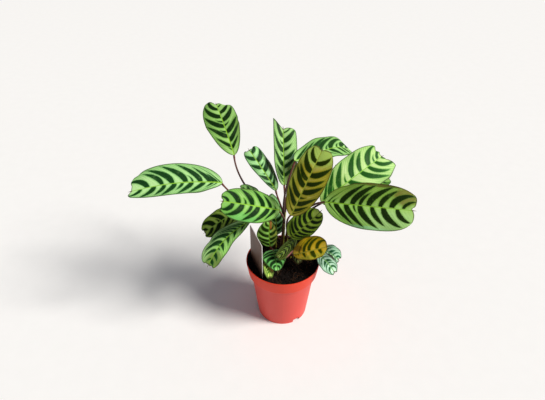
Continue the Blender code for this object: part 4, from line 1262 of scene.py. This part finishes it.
def fibres():
    """Thin three-sided threads that bend over the soil: a parabola in a random direction."""
    steps = np.linspace(-1, 1, FIBRE_RINGS)[None, :, None]
    turn = random.uniform(0, 2 * math.pi, FIBRES)[:, None, None]
    length = random.uniform(2.5, 7.0, FIBRES)[:, None, None]
    ahead = np.concatenate([np.cos(turn), np.sin(turn), random.uniform(-0.25, 0.35, turn.shape)], -1)
    side = np.concatenate([-np.sin(turn), np.cos(turn), 0 * turn], -1)
    up = np.array((0, 0, 1.0))
    bow = random.uniform(-0.45, 0.45, turn.shape)
    line = ahead * steps * length + side * bow * length * steps ** 2 + up * 0.8 * (1 - steps ** 2)
    line = line + scatter(FIBRES, soil_edge - 8)[:, None] + up * 0.3
    angles = np.arange(FIBRE_SIDES) * 2 * math.pi / FIBRE_SIDES
    ring = np.cos(angles)[:, None] * side[:, :, None] + np.sin(angles)[:, None] * up
    thick = random.uniform(0.12, 0.26, FIBRES)[:, None, None, None]
    thread, size = tube_faces(FIBRE_RINGS, FIBRE_SIDES), FIBRE_RINGS * FIBRE_SIDES
    faces = repeated(thread[:-2], FIBRES, size) + repeated(thread[-2:], FIBRES, size)
    return toned(line[:, :, None] + ring * thick, faces, random.uniform(1.2, 2, FIBRES))


# %% The soil's finish
soil_finish = Finish("potting_soil")
tone, _, _ = soil_finish.field("tone")
grain = soil_finish.noise(700.0, 4.0, 0.6)
clods = soil_finish.noise(170.0, 3.0)
earth = soil_finish.mix(grain.step(0.4, 0.7), (12, 8, 6), (30, 20, 15))
earth = soil_finish.mix(clods.step(0.5, 0.8) * 0.5, earth, (16, 10, 8))
earth = soil_finish.mix(tone * grain.step(0.3, 0.6) * 0.5, earth, (58, 36, 26))
earth = soil_finish.mix((tone - 1.0).step(0, 0.4), earth, (110, 74, 48))
SOIL = soil_finish.set(Base_Color=earth, Roughness=0.95, Specular_IOR_Level=0.15,
                       Normal=soil_finish.bump(grain * 0.5 + clods * 0.6))
make_piece("soil_lumps", [soil_surface, crumbs(), fibres()], [SOIL], "soil", 60.0)
print("soil with", CRUMBS, "crumbs and", FIBRES, "fibres")

# %% [markdown]
# ## The plant label
#
# The label is a plain plastic card that narrows to a stake in the soil. Both faces are a satin
# brown-grey, and the cut edge shows the white core of the sheet.

# %% Build the card
LABEL_WIDTH = 56.0
LABEL_THICKNESS = 1.0
LABEL_TOP = 170.0
LABEL_SHOULDER = 100.0
STAKE_WIDTH = 14.0
STAKE_END = 62.0
LABEL_FRONT = (-32.5, -37.5)
LABEL_BACK = (-52.8, 15.8)


def label_surface():
    """The outline, as distance towards the back and height, on both faces and round the edge."""
    half, stake = LABEL_WIDTH / 2, STAKE_WIDTH / 2
    outline = rounded([
        (0, LABEL_TOP, 0), (half, LABEL_TOP, 2.2), (half, LABEL_SHOULDER, 2.0),
        (half - 5, LABEL_SHOULDER - 4, 1.0), (stake, LABEL_SHOULDER - 7, 1.5),
        (stake, STAKE_END + 12, 1.5), (0, STAKE_END, 1.0), (-stake, STAKE_END + 12, 1.5),
        (-stake, LABEL_SHOULDER - 7, 1.5), (-half + 5, LABEL_SHOULDER - 4, 1.0),
        (-half, LABEL_SHOULDER, 2.0), (-half, LABEL_TOP, 2.2), (0, LABEL_TOP, 0),
    ])[1:-1]
    front, back = np.array((*LABEL_FRONT, 0)), np.array((*LABEL_BACK, 0))
    along = unit(back - front)
    side = np.array((along[1], -along[0], 0))
    flat = (front + back) / 2 + along * outline[:, :1] + np.array((0, 0, 1)) * outline[:, 1:]
    points = np.concatenate([flat + side * LABEL_THICKNESS / 2, flat - side * LABEL_THICKNESS / 2])
    count = len(outline)
    faces = [list(range(count)), list(range(count, 2 * count))[::-1]]
    edge = grid_faces(2, count, wrap=True)[:, ::-1]
    return Surface(points, faces + edge.tolist(), {}, [0, 0] + [1] * count)


# %% The card's finishes
card = Finish("label_face")
sheen = card.noise(30.0, 2.0)
fine = card.noise(600.0, 2.0)
card_colour = card.mix(sheen, (122, 90, 72), (96, 74, 60))
CARD = card.set(Base_Color=card_colour, Roughness=0.36 + fine * 0.12, Specular_IOR_Level=0.25,
                Normal=card.bump(fine * 0.04))
core = Finish("label_edge")
core_colour = core.mix(core.noise(300.0), (236, 234, 230), (214, 210, 204))
CORE = core.set(Base_Color=core_colour, Roughness=0.5)
make_piece("plant_label_card", [label_surface()], [CARD, CORE], "plant_label", 30.0)

# %% [markdown]
# ## Compare the sizes
#
# The finished plant has to stay as large as its solids. How far the dressed plant passes them is printed.

# %% Print how far the dressed plant passes its solids
dressed_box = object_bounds()
below = [round((a - b) * 1000, 1) for a, b in zip(solid_box[0], dressed_box[0])]
above = [round((b - a) * 1000, 1) for a, b in zip(solid_box[1], dressed_box[1])]
print("the dressed plant passes its solids by", below, "and", above, "millimetres")
